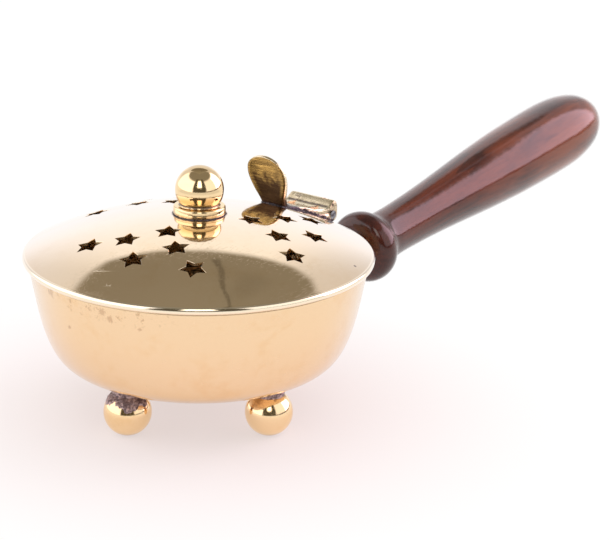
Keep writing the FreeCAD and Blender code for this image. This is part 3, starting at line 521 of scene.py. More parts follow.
M_CRUST = oxide("foot_solder_crust", (0.60, 0.44, 0.43), (0.125, 0.080, 0.088), 0.7)
M_SEAM = oxide("solder_seam_oxide", (0.095, 0.078, 0.092), (0.016, 0.011, 0.014), 0.30)


def wood():
    m, net, p = material("handle_lacquered_mahogany")
    co = net.mm()
    # coordinates along and across the handle
    loc = net.new("ShaderNodeVectorMath", operation="SUBTRACT")
    net.wire(loc.inputs[0], co)
    loc.inputs[1].default_value = tuple(HANDLE_O)
    s = net.dot(loc.outputs[0], tuple(HANDLE_AX))
    u = net.dot(loc.outputs[0], (0.0, 1.0, 0.0))
    w = net.dot(loc.outputs[0], tuple(HANDLE_UP))
    comb = net.new("ShaderNodeCombineXYZ")
    for k, v in enumerate((s, u, w)):
        net.wire(comb.inputs[k], v)
    h = comb.outputs[0]
    warp = net.noise(net.map(h, scale=(0.012, 0.09, 0.09)), 1.0, 3.0, 0.5)
    # growth rings cut lengthwise: distance from a pith line outside the blank
    dist = net.length(net.map(h, scale=(0.0, 1.0, 1.0)), (0.0, 21.0, -33.0))
    rings = net.math("FRACT", net.mul(net.add(dist, net.mul(warp, 26.0)), 0.23))
    ring = net.mul(net.step(rings, 0.0, 0.7), net.step(rings, 0.86, 1.0, 1.0, 0.0))
    figure = net.step(net.noise(net.map(h, scale=(0.02, 0.10, 0.10)), 1.0, 4.0, 0.55, 0.5), 0.36, 0.66)
    pores = net.step(net.noise(net.map(h, scale=(0.10, 2.6, 2.6)), 1.0, 3.0, 0.6), 0.60, 0.70)
    fibre = net.noise(net.map(h, scale=(0.05, 1.5, 1.5)), 1.0, 5.0, 0.65)
    deep = (0.030, 0.0055, 0.0035)
    mid = (0.115, 0.021, 0.0085)
    glow = (0.245, 0.060, 0.017)
    colour = net.mix(net.mul(figure, 0.9), deep, mid)
    colour = net.mix(net.mul(ring, 0.38), colour, (0.155, 0.032, 0.012))
    tip = net.step(s, 40.0, 158.0)
    colour = net.mix(net.mul(net.mul(figure, tip), 0.75), colour, glow)
    colour = net.mix(net.mul(net.step(fibre, 0.45, 0.68), 0.35), colour, deep)
    colour = net.mix(net.mul(pores, 0.55), colour, (0.016, 0.004, 0.003))
    collar = net.band(s, -1.0, 0.0, 12.0, 24.0)
    colour = net.mix(net.mul(collar, 0.62), colour, (0.030, 0.0065, 0.0045))
    line = net.band(s, 10.8, 11.15, 11.45, 11.9)
    colour = net.mix(net.mul(line, 0.8), colour, (0.008, 0.003, 0.003))
    net.wire(p.inputs["Base Color"], colour)
    net.wire(p.inputs["Roughness"], net.add(net.mul(fibre, 0.2), 0.42))
    p.inputs["IOR"].default_value = 1.5
    p.inputs["Coat Weight"].default_value = 1.0
    p.inputs["Coat IOR"].default_value = 1.46
    p.inputs["Specular IOR Level"].default_value = 0.06
    net.wire(p.inputs["Coat Roughness"], net.step(net.noise(h, 0.15, 4.0, 0.6), 0.35, 0.7, 0.035, 0.10))
    under = net.bump(net.add(net.mul(pores, -1.0), net.mul(fibre, 0.4)), 4e-5)
    net.wire(p.inputs["Normal"], under)
    orange = net.bump(net.noise(h, 0.30, 3.0, 0.5), 6e-5)
    orange = net.bump(net.noise(net.map(h, scale=(0.02, 0.2, 0.2)), 1.0, 2.0, 0.5), 1.2e-4, 1.0, orange)
    net.wire(p.inputs["Coat Normal"], orange)
    return m


M_WOOD = wood()
M_STEEL = steel()


# ---------------------------------------------------------------- mesh helpers
def piece(name, verts, faces, mats, body, hides=(), normals=None, index=None, angle=38.0, recalc=True):
    """A new mesh piece in the shared frame; verts are in millimetres."""
    me = bpy.data.meshes.new(name)
    me.from_pydata((np.asarray(verts, float) * MM).tolist(), [], [list(map(int, f)) for f in faces])
    me.update()
    if index is not None:
        me.polygons.foreach_set("material_index", np.asarray(index, np.int32))
    if recalc:
        bm = bmesh.new()
        bm.from_mesh(me)
        bmesh.ops.remove_doubles(bm, verts=bm.verts, dist=1e-7)
        bmesh.ops.recalc_face_normals(bm, faces=bm.faces)
        bm.to_mesh(me)
        bm.free()
    me.polygons.foreach_set("use_smooth", [True] * len(me.polygons))
    me.set_sharp_from_angle(angle=math.radians(angle))
    if normals is not None:
        me.normals_split_custom_set_from_vertices([tuple(n) for n in normals])
    for m in (mats if isinstance(mats, (list, tuple)) else [mats]):
        me.materials.append(m)
    o = bpy.data.objects.new(name, me)
    bpy.context.scene.collection.objects.link(o)
    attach(o, body)
    if hides:
        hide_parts(*hides)
    return o


def lathe(profile, n=256, centre=(0.0, 0.0), axes=None, origin=None, close=False):
    """Turns (r, z) points round an axis. Points on the axis become one vertex."""
    ang = np.arange(n) * TAU / n
    verts, rows = [], []
    for r, z in profile:
        if r < 1e-6:
            rows.append([len(verts)])
            verts.append((0.0, 0.0, z))
        else:
            rows.append(list(range(len(verts), len(verts) + n)))
            verts += [(r * math.cos(a), r * math.sin(a), z) for a in ang]
    faces = []
    pairs = list(zip(rows[:-1], rows[1:]))
    if close:
        pairs.append((rows[-1], rows[0]))
    spans = []
    for k, (a, b) in enumerate(pairs):
        for i in range(n):
            j = (i + 1) % n
            if len(a) == 1 and len(b) == 1:
                continue
            if len(a) == 1:
                faces.append((a[0], b[i], b[j]))
            elif len(b) == 1:
                faces.append((a[i], b[0], a[j]))
            else:
                faces.append((a[i], b[i], b[j], a[j]))
            spans.append(k)
    v = np.array(verts)
    if axes is not None:
        ex, ey, ez = axes
        v = np.outer(v[:, 0], ex) + np.outer(v[:, 1], ey) + np.outer(v[:, 2], ez) + origin
    else:
        v[:, 0] += centre[0]
        v[:, 1] += centre[1]
    return v, faces, spans


def catmull(points, per=8, start=None, end=None):
    """Smooth curve through points."""
    p = [np.array(q, float) for q in points]
    first = np.array(start, float) if start is not None else 2 * p[0] - p[1]
    last = np.array(end, float) if end is not None else 2 * p[-1] - p[-2]
    p = [first] + p + [last]
    out = []
    for i in range(1, len(p) - 2):
        a, b, c, d = p[i - 1:i + 3]
        t0 = 0.0
        t1 = t0 + max(np.linalg.norm(b - a), 1e-9) ** 0.5
        t2 = t1 + max(np.linalg.norm(c - b), 1e-9) ** 0.5
        t3 = t2 + max(np.linalg.norm(d - c), 1e-9) ** 0.5
        for k in range(per):
            t = t1 + (t2 - t1) * k / per
            a1 = (t1 - t) / (t1 - t0) * a + (t - t0) / (t1 - t0) * b
            a2 = (t2 - t) / (t2 - t1) * b + (t - t1) / (t2 - t1) * c
            a3 = (t3 - t) / (t3 - t2) * c + (t - t2) / (t3 - t2) * d
            b1 = (t2 - t) / (t2 - t0) * a1 + (t - t0) / (t2 - t0) * a2
            b2 = (t3 - t) / (t3 - t1) * a2 + (t - t1) / (t3 - t1) * a3
            out.append((t2 - t) / (t2 - t1) * b1 + (t - t1) / (t2 - t1) * b2)
    out.append(p[-2])
    return [tuple(q) for q in out]


def spline(poles, n):
    """Clamped cubic B-spline with uniform knots, n points."""
    poles = np.array(poles, float)
    k = 3
    inner = len(poles) - k
    knots = [0.0] * k + list(np.linspace(0, 1, inner + 1)) + [1.0] * k
    out = []
    for t in np.linspace(0, 1, n):
        t = min(t, 1 - 1e-12)
        i = k
        while knots[i + 1] <= t:
            i += 1
        d = [poles[j + i - k].copy() for j in range(k + 1)]
        for r in range(1, k + 1):
            for j in range(k, r - 1, -1):
                lo, hi = knots[j + i - k], knots[j + 1 + i - r]
                a = (t - lo) / (hi - lo)
                d[j] = (1 - a) * d[j - 1] + a * d[j]
        out.append(d[k])
    return np.array(out)


def arc(cx, cz, r, a0, a1, n):
    """Arc points (r, z), angles in degrees from +r towards +z."""
    return [(cx + r * math.cos(math.radians(a)), cz + r * math.sin(math.radians(a))) for a in np.linspace(a0, a1, n)]


# ---------------------------------------------------------------- lid
STARS = [(18.9, -171, -10), (29.1, 169.4, 1), (28.2, -154.6, -16), (38.2, 156.3, 8), (37.4, -172.6, -2),
         (38.7, -142.7, -8), (16.8, -63.4, -12), (27.7, -41.6, -15), (28.5, -79.8, 1), (38.0, -32.6, -6),
         (37.2, -61.2, -6), (38.7, -91.8, -2), (19.2, 66, 12), (29.3, 83, -12), (28.6, 49, 6), (38.4, 101, -12),
         (38.0, 68, 4), (38.5, 37.5, -5)]


def star(radius, angle, turn, grow=0.0, per=7):
    """Outline of one star hole, anticlockwise."""
    a = math.radians(angle)
    c = np.array([radius * math.cos(a), radius * math.sin(a)])
    pts = []
    for k in range(10):
        r = (4.42 + grow * 2.1) if k % 2 == 0 else (2.42 + grow * 1.15)
        t = a + math.radians(turn) + k * math.pi / 5
        pts.append(c + r * np.array([math.cos(t), math.sin(t)]))
    out = []
    for k in range(10):
        p, q = pts[k], pts[(k + 1) % 10]
        for i in range(per):
            out.append(p + (q - p) * i / per)
    return np.array(out), c


def inside(poly, p):
    x, y = p[:, 0][:, None], p[:, 1][:, None]
    x0, y0 = poly[:, 0][None], poly[:, 1][None]
    x1, y1 = np.roll(poly[:, 0], -1)[None], np.roll(poly[:, 1], -1)[None]
    hit = ((y0 > y) != (y1 > y)) & (x < (x1 - x0) * (y - y0) / (y1 - y0 + 1e-15) + x0)
    return hit.sum(1) % 2 == 1


def build_lid():
    n = 360
    ang = np.arange(n) * TAU / n
    r_in, r_out = 9.6, 50.0
    rings = np.linspace(r_in, r_out, 37)
    grid = np.concatenate([np.stack([r * np.cos(ang + (0.5 * TAU / n if 0 < k < len(rings) - 1 and k % 2 else 0)),
                                     r * np.sin(ang + (0.5 * TAU / n if 0 < k < len(rings) - 1 and k % 2 else 0))], 1)
                           for k, r in enumerate(rings)])
    keep = np.ones(len(grid), bool)
    outlines = [star(*s, grow=0.07) for s in STARS]
    for line, c in outlines:
        near = np.hypot(*(grid - c).T) < 6.0
        idx = np.nonzero(near)[0]
        d = np.min(np.hypot(grid[idx][:, None, 0] - line[None, :, 0], grid[idx][:, None, 1] - line[None, :, 1]), 1)
        keep[idx[(d < 0.42) | inside(line, grid[idx])]] = False
    keep[:n] = True
    keep[-n:] = True
    grid = grid[keep]
    pts = [Vector(p) for p in grid.tolist()]
    edges, loops = [], []
    for line, c in outlines:
        start = len(pts)
        pts += [Vector(p) for p in line.tolist()]
        m = len(line)
        loops.append(list(range(start, start + m)))
        edges += [(start + i, start + (i + 1) % m) for i in range(m)]
    for base in (0, len(grid) - n):
        edges += [(base + i, base + (i + 1) % n) for i in range(n)]
    out = geometry.delaunay_2d_cdt(pts, edges, [], 0, 1e-6)
    xy = np.array([tuple(v) for v in out[0]])
    source = out[3]
    tris = np.array([t for t in out[2] if len(t) == 3])
    mid = xy[tris].mean(1)
    r = np.hypot(mid[:, 0], mid[:, 1])
    ok = (r > r_in * 0.9995) & (r < r_out * 0.99999)
    # triangles between the polygonal ring and its circle do not exist; those outside the ring are dropped
    for line, c in outlines:
        near = np.hypot(*(mid - c).T) < 6.0
        idx = np.nonzero(near)[0]
        ok[idx[inside(line, mid[idx])]] = False
    ok &= r > r_in * math.cos(math.pi / n) * 0.99999
    tris = tris[ok]
    area = np.cross(xy[tris[:, 1]] - xy[tris[:, 0]], xy[tris[:, 2]] - xy[tris[:, 0]])
    tris[area < 0] = tris[area < 0][:, ::-1]
    # where each input vertex went
    where = {}
    for new, olds in enumerate(source):
        for old in olds:
            where[old] = new
    nv = len(xy)
    rr = np.hypot(xy[:, 0], xy[:, 1])
    top = np.column_stack([xy, dome_z(rr)])
    bot = np.column_stack([xy, dome_z(rr, WALL_LID)])
    verts = [top, bot]
    normals = [np.column_stack([xy, top[:, 2] - DOME_C]) / DOME_R, -np.column_stack([xy, bot[:, 2] - DOME_C]) / (DOME_R - WALL_LID)]
    faces = [tuple(t) for t in tris] + [tuple(int(i) + nv for i in t[::-1]) for t in tris]
    index = [0] * len(tris) + [1] * len(tris)
    count = 2 * nv
    # star walls: small rolled edge at the top, straight wall, small edge below
    for k, (line, c) in enumerate(outlines):
        real, _ = star(*STARS[k], grow=0.0)
        m = len(line)
        rl = np.hypot(line[:, 0], line[:, 1])
        rc = np.hypot(real[:, 0], real[:, 1])
        half = (line + real) / 2
        rh = np.hypot(half[:, 0], half[:, 1])
        rows = [np.column_stack([line, dome_z(rl)]), np.column_stack([half * 0.6 + real * 0.4, dome_z(rh) - 0.035]),
                np.column_stack([real, dome_z(rc) - 0.11]),
                np.column_stack([real, dome_z(rc, WALL_LID) + 0.20]), np.column_stack([line, dome_z(rl, WALL_LID)])]
        edge = np.roll(real, -1, 0) - np.roll(real, 1, 0)
        inward = np.column_stack([-edge[:, 1], edge[:, 0]])
        inward /= np.linalg.norm(inward, axis=1)[:, None] + 1e-12
        ups = [1.0, 0.55, 0.0, 0.0, -1.0]
        base = count
        for row, upz in zip(rows, ups):
            verts.append(row)
            nn = np.column_stack([inward * math.sqrt(max(0.0, 1 - upz * upz)) if abs(upz) < 1 else inward * 0.0, np.full(m, upz)])
            normals.append(nn / (np.linalg.norm(nn, axis=1)[:, None] + 1e-12))
            count += m
        for a in range(4):
            for i in range(m):
                j = (i + 1) % m
                faces.append((base + a * m + i, base + (a + 1) * m + i, base + (a + 1) * m + j, base + a * m + j))
                index.append(0 if a < 2 else 1)
    # rim of the dome with its rolled band, then back under; and the bore under the knob
    z_e = float(dome_z(55.45))
    dz = LID_DZ
    outer = [(r, float(dome_z(r))) for r in (50.0, 51.0, 52.0, 53.0, 53.9, 54.6, 55.1)]
    band = catmull([(55.45, z_e), (56.15, z_e - 0.32), (56.5, 52.95 + dz), (56.3, 52.15 + dz), (55.75, 51.75 + dz)], 7,
                   start=(54.9, z_e + 0.06))
    under = [(54.8, 51.75 + dz), (54.62, 51.85 + dz), (54.4, 52.4 + dz), (54.3, float(dome_z(54.3, WALL_LID)))]
    inner = [(r, float(dome_z(r, WALL_LID))) for r in (53.6, 52.8, 51.9, 51.0, 50.0)]
    prof = outer + band + under + inner
    v, f, spans = lathe(prof, n)
    # the band is hand-rolled: it wanders a little
    rad = np.hypot(v[:, 0], v[:, 1])
    th = np.arctan2(v[:, 1], v[:, 0])
    wob = 0.07 * np.sin(3 * th + 0.7) + 0.05 * np.sin(7 * th + 2.1) + 0.03 * np.sin(17 * th)
    low = np.clip((53.9 + dz - v[:, 2]) / 1.5, 0, 1) * (rad > 54.7)
    v[:, 2] += np.clip(wob, -0.02, 0.2) * low
    verts.append(v)
    pr = np.array(prof)
    tang = np.gradient(pr, axis=0)
    pn = np.column_stack([-tang[:, 1], tang[:, 0]])
    pn /= np.linalg.norm(pn, axis=1)[:, None]
    pn *= -1
    if pn[3][1] < 0:
        pn *= -1
    nn = np.concatenate([np.column_stack([np.cos(ang) * a, np.sin(ang) * a, np.full(n, b)]) for a, b in pn])
    for k in range(7):       # exact dome normals on the dome's part
        sl = slice(k * n, (k + 1) * n)
        nn[sl] = (v[sl] - np.array([0, 0, DOME_C])) / DOME_R
    normals.append(nn)
    faces += [tuple(count + i for i in q) for q in f]
    lim = len(outer) + len(band) - 1
    index += [0 if s < lim else 1 for s in spans]
    count += len(v)
    hub = [(r_in, float(dome_z(r_in, 0))), (8.8, float(dome_z(8.8))), (6.0, float(dome_z(6.0))), (2.25, float(dome_z(2.25))),
           (2.25, float(dome_z(2.25, WALL_LID))), (6.0, float(dome_z(6.0, WALL_LID))), (r_in, float(dome_z(r_in, WALL_LID)))]
    v, f, spans = lathe(hub, n)
    verts.append(v)
    hn = np.concatenate([(v[:3 * n] - np.array([0, 0, DOME_C])) / DOME_R,
                         np.column_stack([-np.cos(ang), -np.sin(ang), np.zeros(n)]),
                         np.column_stack([-np.cos(ang), -np.sin(ang), np.zeros(n)]),
                         -(v[5 * n:] - np.array([0, 0, DOME_C])) / (DOME_R - WALL_LID)])
    normals.append(hn)
    faces += [tuple(count + i for i in q) for q in f]
    index += [0 if s < 3 else 1 for s in spans]
    verts = np.concatenate(verts)
    normals = np.concatenate(normals)
    # face winding follows the wanted normals
    fixed = []
    for q in faces:
        a, b, c = verts[q[0]], verts[q[1]], verts[q[2]]
        g = np.cross(b - a, c - a)
        want = normals[list(q)].sum(0)
        fixed.append(tuple(q) if np.dot(g, want) >= 0 else tuple(q[::-1]))
    # weld, then set the normals again by place
    me = bpy.data.meshes.new("lid_dome")
    me.from_pydata((verts * MM).tolist(), [], [list(map(int, q)) for q in fixed])
    me.update()
    me.polygons.foreach_set("material_index", np.asarray(index, np.int32))
    me.polygons.foreach_set("use_smooth", [True] * len(me.polygons))
    loops = np.zeros(len(me.loops), np.int32)
    me.loops.foreach_get("vertex_index", loops)
    want = normals[loops].copy()
    # on the star's rolled edge and walls keep face-true shading; elsewhere use the exact normals
    corner = np.zeros(len(me.loops), bool)
    start = np.zeros(len(me.polygons), np.int32)
    total = np.zeros(len(me.polygons), np.int32)
    me.polygons.foreach_get("loop_start", start)
    me.polygons.foreach_get("loop_total", total)
    fn = np.zeros(len(me.polygons) * 3, np.float32)
    me.polygons.foreach_get("normal", fn)
    fn = fn.reshape(-1, 3)
    owner = np.repeat(np.arange(len(me.polygons)), total)
    wall = (loops >= 2 * nv) & (loops < 2 * nv + 5 * sum(len(l) for l, _ in outlines))
    want[wall] = fn[owner[wall]]
    crease = np.einsum("ij,ij->i", want, fn[owner]) < 0.55
    want[crease] = fn[owner[crease]]
    bm = bmesh.new()
    bm.from_mesh(me)
    layer = [bm.loops.layers.float.new("n" + c) for c in "xyz"]
    k = 0
    for face in bm.faces:
        for lp in face.loops:
            for c in range(3):
                lp[layer[c]] = float(want[k][c])
            k += 1
    bmesh.ops.remove_doubles(bm, verts=bm.verts, dist=2e-6)
    flat = [(lp[layer[0]], lp[layer[1]], lp[layer[2]]) for face in bm.faces for lp in face.loops]
    bm.to_mesh(me)
    bm.free()
    for c in "xyz":
        if "n" + c in me.attributes:
            me.attributes.remove(me.attributes["n" + c])
    me.normals_split_custom_set(flat)
    me.materials.append(M_LID)
    me.materials.append(M_LID_UNDER)
    o = bpy.data.objects.new("lid_dome", me)
    bpy.context.scene.collection.objects.link(o)
    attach(o, "lid")
    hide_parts("lid_shell")
    return o


build_lid()

# ---------------------------------------------------------------- bowl
poles = [(0, 14.9), (8, 14.9), (17, 14.9), (28.2, 14.95), (40.7, 16.7), (47.4, 21.7), (51.6, 34.0), (52.9, 42.0), (54.7, 51.55)]
curve = spline(poles, 150)
curve[:, 1] += BOWL_DZ
tan = np.gradient(curve, axis=0)
nrm = np.column_stack([-tan[:, 1], tan[:, 0]])
nrm /= np.linalg.norm(nrm, axis=1)[:, None]
inner = curve + nrm * WALL_BOWL
top_z = curve[-1, 1]
outer_pts = [tuple(p) for p in curve[:-1]]
outer_pts[0] = (0.0, curve[0, 1])
inner_pts = [tuple(p) for p in inner if p[1] < top_z - 0.35 and p[0] > 0.6][::-1]
lip = [(54.62, top_z - 0.28), (54.5, top_z - 0.06), (54.25, top_z), (53.85, top_z), (53.6, top_z - 0.06), (53.49, top_z - 0.22)]
prof = [p for p in outer_pts if p[1] < top_z - 0.4] + lip + inner_pts + [(0.0, float(inner[0, 1]))]
v, f, spans = lathe(prof, 320)
cut = len([p for p in outer_pts if p[1] < top_z - 0.4]) + 4
# spun metal is never quite true
th = np.arctan2(v[:, 1], v[:, 0])
rad = np.hypot(v[:, 0], v[:, 1])
swell = 0.10 * np.sin(2 * th + 0.4) * np.sin(np.clip((v[:, 2] - 15) / 36, 0, 1) * math.pi)
v[:, 0] += np.cos(th) * swell * (rad > 20)
v[:, 1] += np.sin(th) * swell * (rad > 20)
piece("bowl_body", v, f, [M_BOWL, M_BOWL_IN], "bowl", ("bowl_shell",),
      index=[0 if s < cut else 1 for s in spans], angle=50)

# ---------------------------------------------------------------- knob and its flange
dzf = fl_hi[2] - 70.3
ball_c = kb_hi[2] - 7.83
neck_r = 5.8
a_low = -math.degrees(math.acos(6.75 / 7.83))
prof = [(0.0, 70.3 + dzf), (neck_r - 0.6, 70.3 + dzf), (neck_r, 70.34 + dzf)]
prof += [(6.0, 70.36 + dzf)]
low = [p for p in arc(0, ball_c, 7.83, a_low * 1.0, 90, 60)]
prof = [(0.0, 70.3 + dzf), (5.2, 70.3 + dzf), (5.8, 70.33 + dzf), (6.3, 70.42 + dzf)] + low[:-1] + [(0.0, kb_hi[2])]
v, f, s = lathe(prof, 160)
piece("knob_turned_ball", v, f, M_KNOB, "lid", ("knob_ball",), angle=35)
prof = [(2.2, float(dome_z(2.2)) + 0.02)] + [(r, float(dome_z(r)) + 0.02) for r in (4.0, 6.0, 7.6)]
prof += [(8.25, 66.66 + dzf), (8.36, 66.72 + dzf), (8.4, 66.86 + dzf), (8.4, 67.3 + dzf), (8.22, 67.42 + dzf), (8.18, 67.55 + dzf),
         (8.22, 67.68 + dzf), (8.4, 67.8 + dzf), (8.4, 68.8 + dzf)]
prof += [(8.4 - 0.7 * (1 - math.cos(t)), 68.8 + dzf + 0.7 * math.sin(t)) for t in np.linspace(0.15, math.pi / 2, 8)]
prof += [(7.1, 69.5 + dzf), (6.95, 69.52 + dzf), (6.72, 69.62 + dzf), (6.55, 69.82 + dzf), (6.5, 70.08 + dzf), (6.42, 70.22 + dzf),
         (6.25, 70.3 + dzf), (2.2, 70.3 + dzf)]
v, f, s = lathe(prof, 160, close=True)
piece("knob_turned_flange", v, f, M_KNOB, "lid", ("knob_flange",), angle=35)

# ---------------------------------------------------------------- ball feet
BALL_Z = 7.6


def foot_profile(lo_z, hi_z):
    a0 = -math.degrees(math.acos(1.24 / FOOT_R))
    a1 = math.degrees(math.acos(3.4 / FOOT_R))
    ball = arc(0, BALL_Z, FOOT_R, a0, a1, 56)
    ball[0] = (1.24, 0.0)
    top = ball[-1][1]
    return ([(0.0, 0.0)] + ball + [(3.22, top + 0.12), (3.2, 14.9), (2.5, 14.9), (2.5, hi_z - 2.05), (3.7, hi_z - 2.05), (3.7, hi_z - 1.3),
            (3.45, hi_z - 0.6), (2.9, hi_z - 0.2), (1.9, hi_z - 0.02), (0.0, hi_z)])


for name, c in zip(FOOT_NAMES, FOOT_C):
    lo, hi = corners(name)
    v, f, s = lathe(foot_profile(lo[2], hi[2]), 128, centre=c)
    piece(name + "_ball", v, f, M_FOOT, "bowl", (name,), angle=35)


def crust(name, c, theta0, theta_edge, rough_edge, thick, seed, mat, na=180, nt=26):
    """A closed irregular skin of burnt solder over the top of a ball foot."""
    rows_o, rows_i = [], []
    for k in range(nt):
        t = k / (nt - 1)
        ro, ri = [], []
        for i in range(na):
            a = i * TAU / na
            q = Vector((math.cos(a) * 1.6 + seed, math.sin(a) * 1.6, seed * 0.37))
            edge = theta_edge + rough_edge * (noise.noise(q) + 0.55 * noise.noise(q * 2.7) + 0.35 * noise.noise(q * 6.1))
            th = math.radians(theta0 + (edge - theta0) * t)
            d = np.array([math.sin(th) * math.cos(a), math.sin(th) * math.sin(a), math.cos(th)])
            lump = noise.noise(Vector(d * 4.2 + seed)) * 0.55 + noise.noise(Vector(d * 10.5 + seed)) * 0.35 + noise.noise(Vector(d * 24 + seed)) * 0.18
            fade = min(1.0, (1 - t) * 7.0)
            r = FOOT_R + (thick * (0.75 + lump)) * fade - 0.05 * (1 - fade)
            ro.append(d * r)
            ri.append(d * (FOOT_R - 0.35))
        rows_o.append(ro)
        rows_i.append(ri)
    rows = rows_o + rows_i[::-1]
    v = np.array(rows).reshape(-1, 3) + np.array([c[0], c[1], BALL_Z])
    m = len(rows)
    f = [(a * na + i, ((a + 1) % m) * na + i, ((a + 1) % m) * na + (i + 1) % na, a * na + (i + 1) % na) for a in range(m) for i in range(na)]
    return piece(name, v, f, mat, "bowl", angle=60)


crust("foot_front_crust", FOOT_C[2], 27.0, 62.0, 17.0, 0.34, 4.3, M_CRUST)
crust("foot_handle_side_crust", FOOT_C[0], 27.0, 38.0, 9.0, 0.20, 9.1, M_CRUST)
crust("foot_left_crust", FOOT_C[1], 27.0, 43.0, 10.0, 0.22, 2.7, M_CRUST)
crust("foot_right_crust", FOOT_C[3], 27.0, 30.0, 4.0, 0.12, 6.2, M_CRUST)

# ---------------------------------------------------------------- thumb lift
lift_base = np.array([39.2, 0.0, 60.8])
lean = math.radians(20)
L_UP = np.array([-math.sin(lean), 0, math.cos(lean)])      # up along the blade
L_OUT = np.array([-math.cos(lean), 0, -math.sin(lean)])    # towards the knob
shape = catmull([(4.7, -2), (4.75, 0), (5.35, 3), (6.6, 6.5), (7.65, 10), (7.85, 12.6), (7.0, 15.6), (4.7, 17.9), (0.0, 19.2)], 6,
                end=(-4.7, 17.9))
rows = []
NA = 72
for w, vv in shape:
    ring = []
    w = max(w, 0.02)
    thick = (1.3 - 0.62 * min(1.0, max(0.0, (vv - 7.0) / 9.0))) * min(1.0, (w / 2.2) ** 0.5) + 0.55 * max(0.0, (1.5 - vv) / 3.5)
    for i in range(NA):
        a = i * TAU / NA
        cu, su = math.cos(a), math.sin(a)
        yy = w * math.copysign(abs(cu) ** 0.62, cu)
        dd = thick * math.copysign(abs(su) ** 0.42, su)
        x = yy / max(w, 1e-6)
        face = max(0.0, 1 - (x / 0.86) ** 2) if abs(x) < 0.86 else 0.0
        height = min(1.0, max(0.0, (vv - 1.0) / 4.0)) * min(1.0, max(0.0, (18.6 - vv) / 2.5))
        if dd > 0:
            dd -= min(0.55, 0.62 * thick) * face ** 0.7 * height
        ring.append(lift_base + L_UP * vv + L_OUT * (dd + 0.35 * (abs(x) ** 2) * height) + np.array([0, 1, 0]) * yy)
    rows.append(ring)
v = np.array(rows).reshape(-1, 3)
m = len(rows)
f = [(a * NA + i, (a + 1) * NA + i, (a + 1) * NA + (i + 1) % NA, a * NA + (i + 1) % NA) for a in range(m - 1) for i in range(NA)]
f.append(tuple(range(NA)))
f.append(tuple(range((m - 1) * NA, m * NA))[::-1])
# the foot is cut to sit just inside the dome
below = np.linalg.norm(v - np.array([0, 0, DOME_C]), axis=1) < DOME_R - 0.5
d = v[below] - np.array([0, 0, DOME_C])
v[below] = np.array([0, 0, DOME_C]) + d / np.linalg.norm(d, axis=1)[:, None] * (DOME_R - 0.5)
piece("thumb_lift_blade", v, f, M_CAST, "lid", ("thumb_lift",), angle=45)


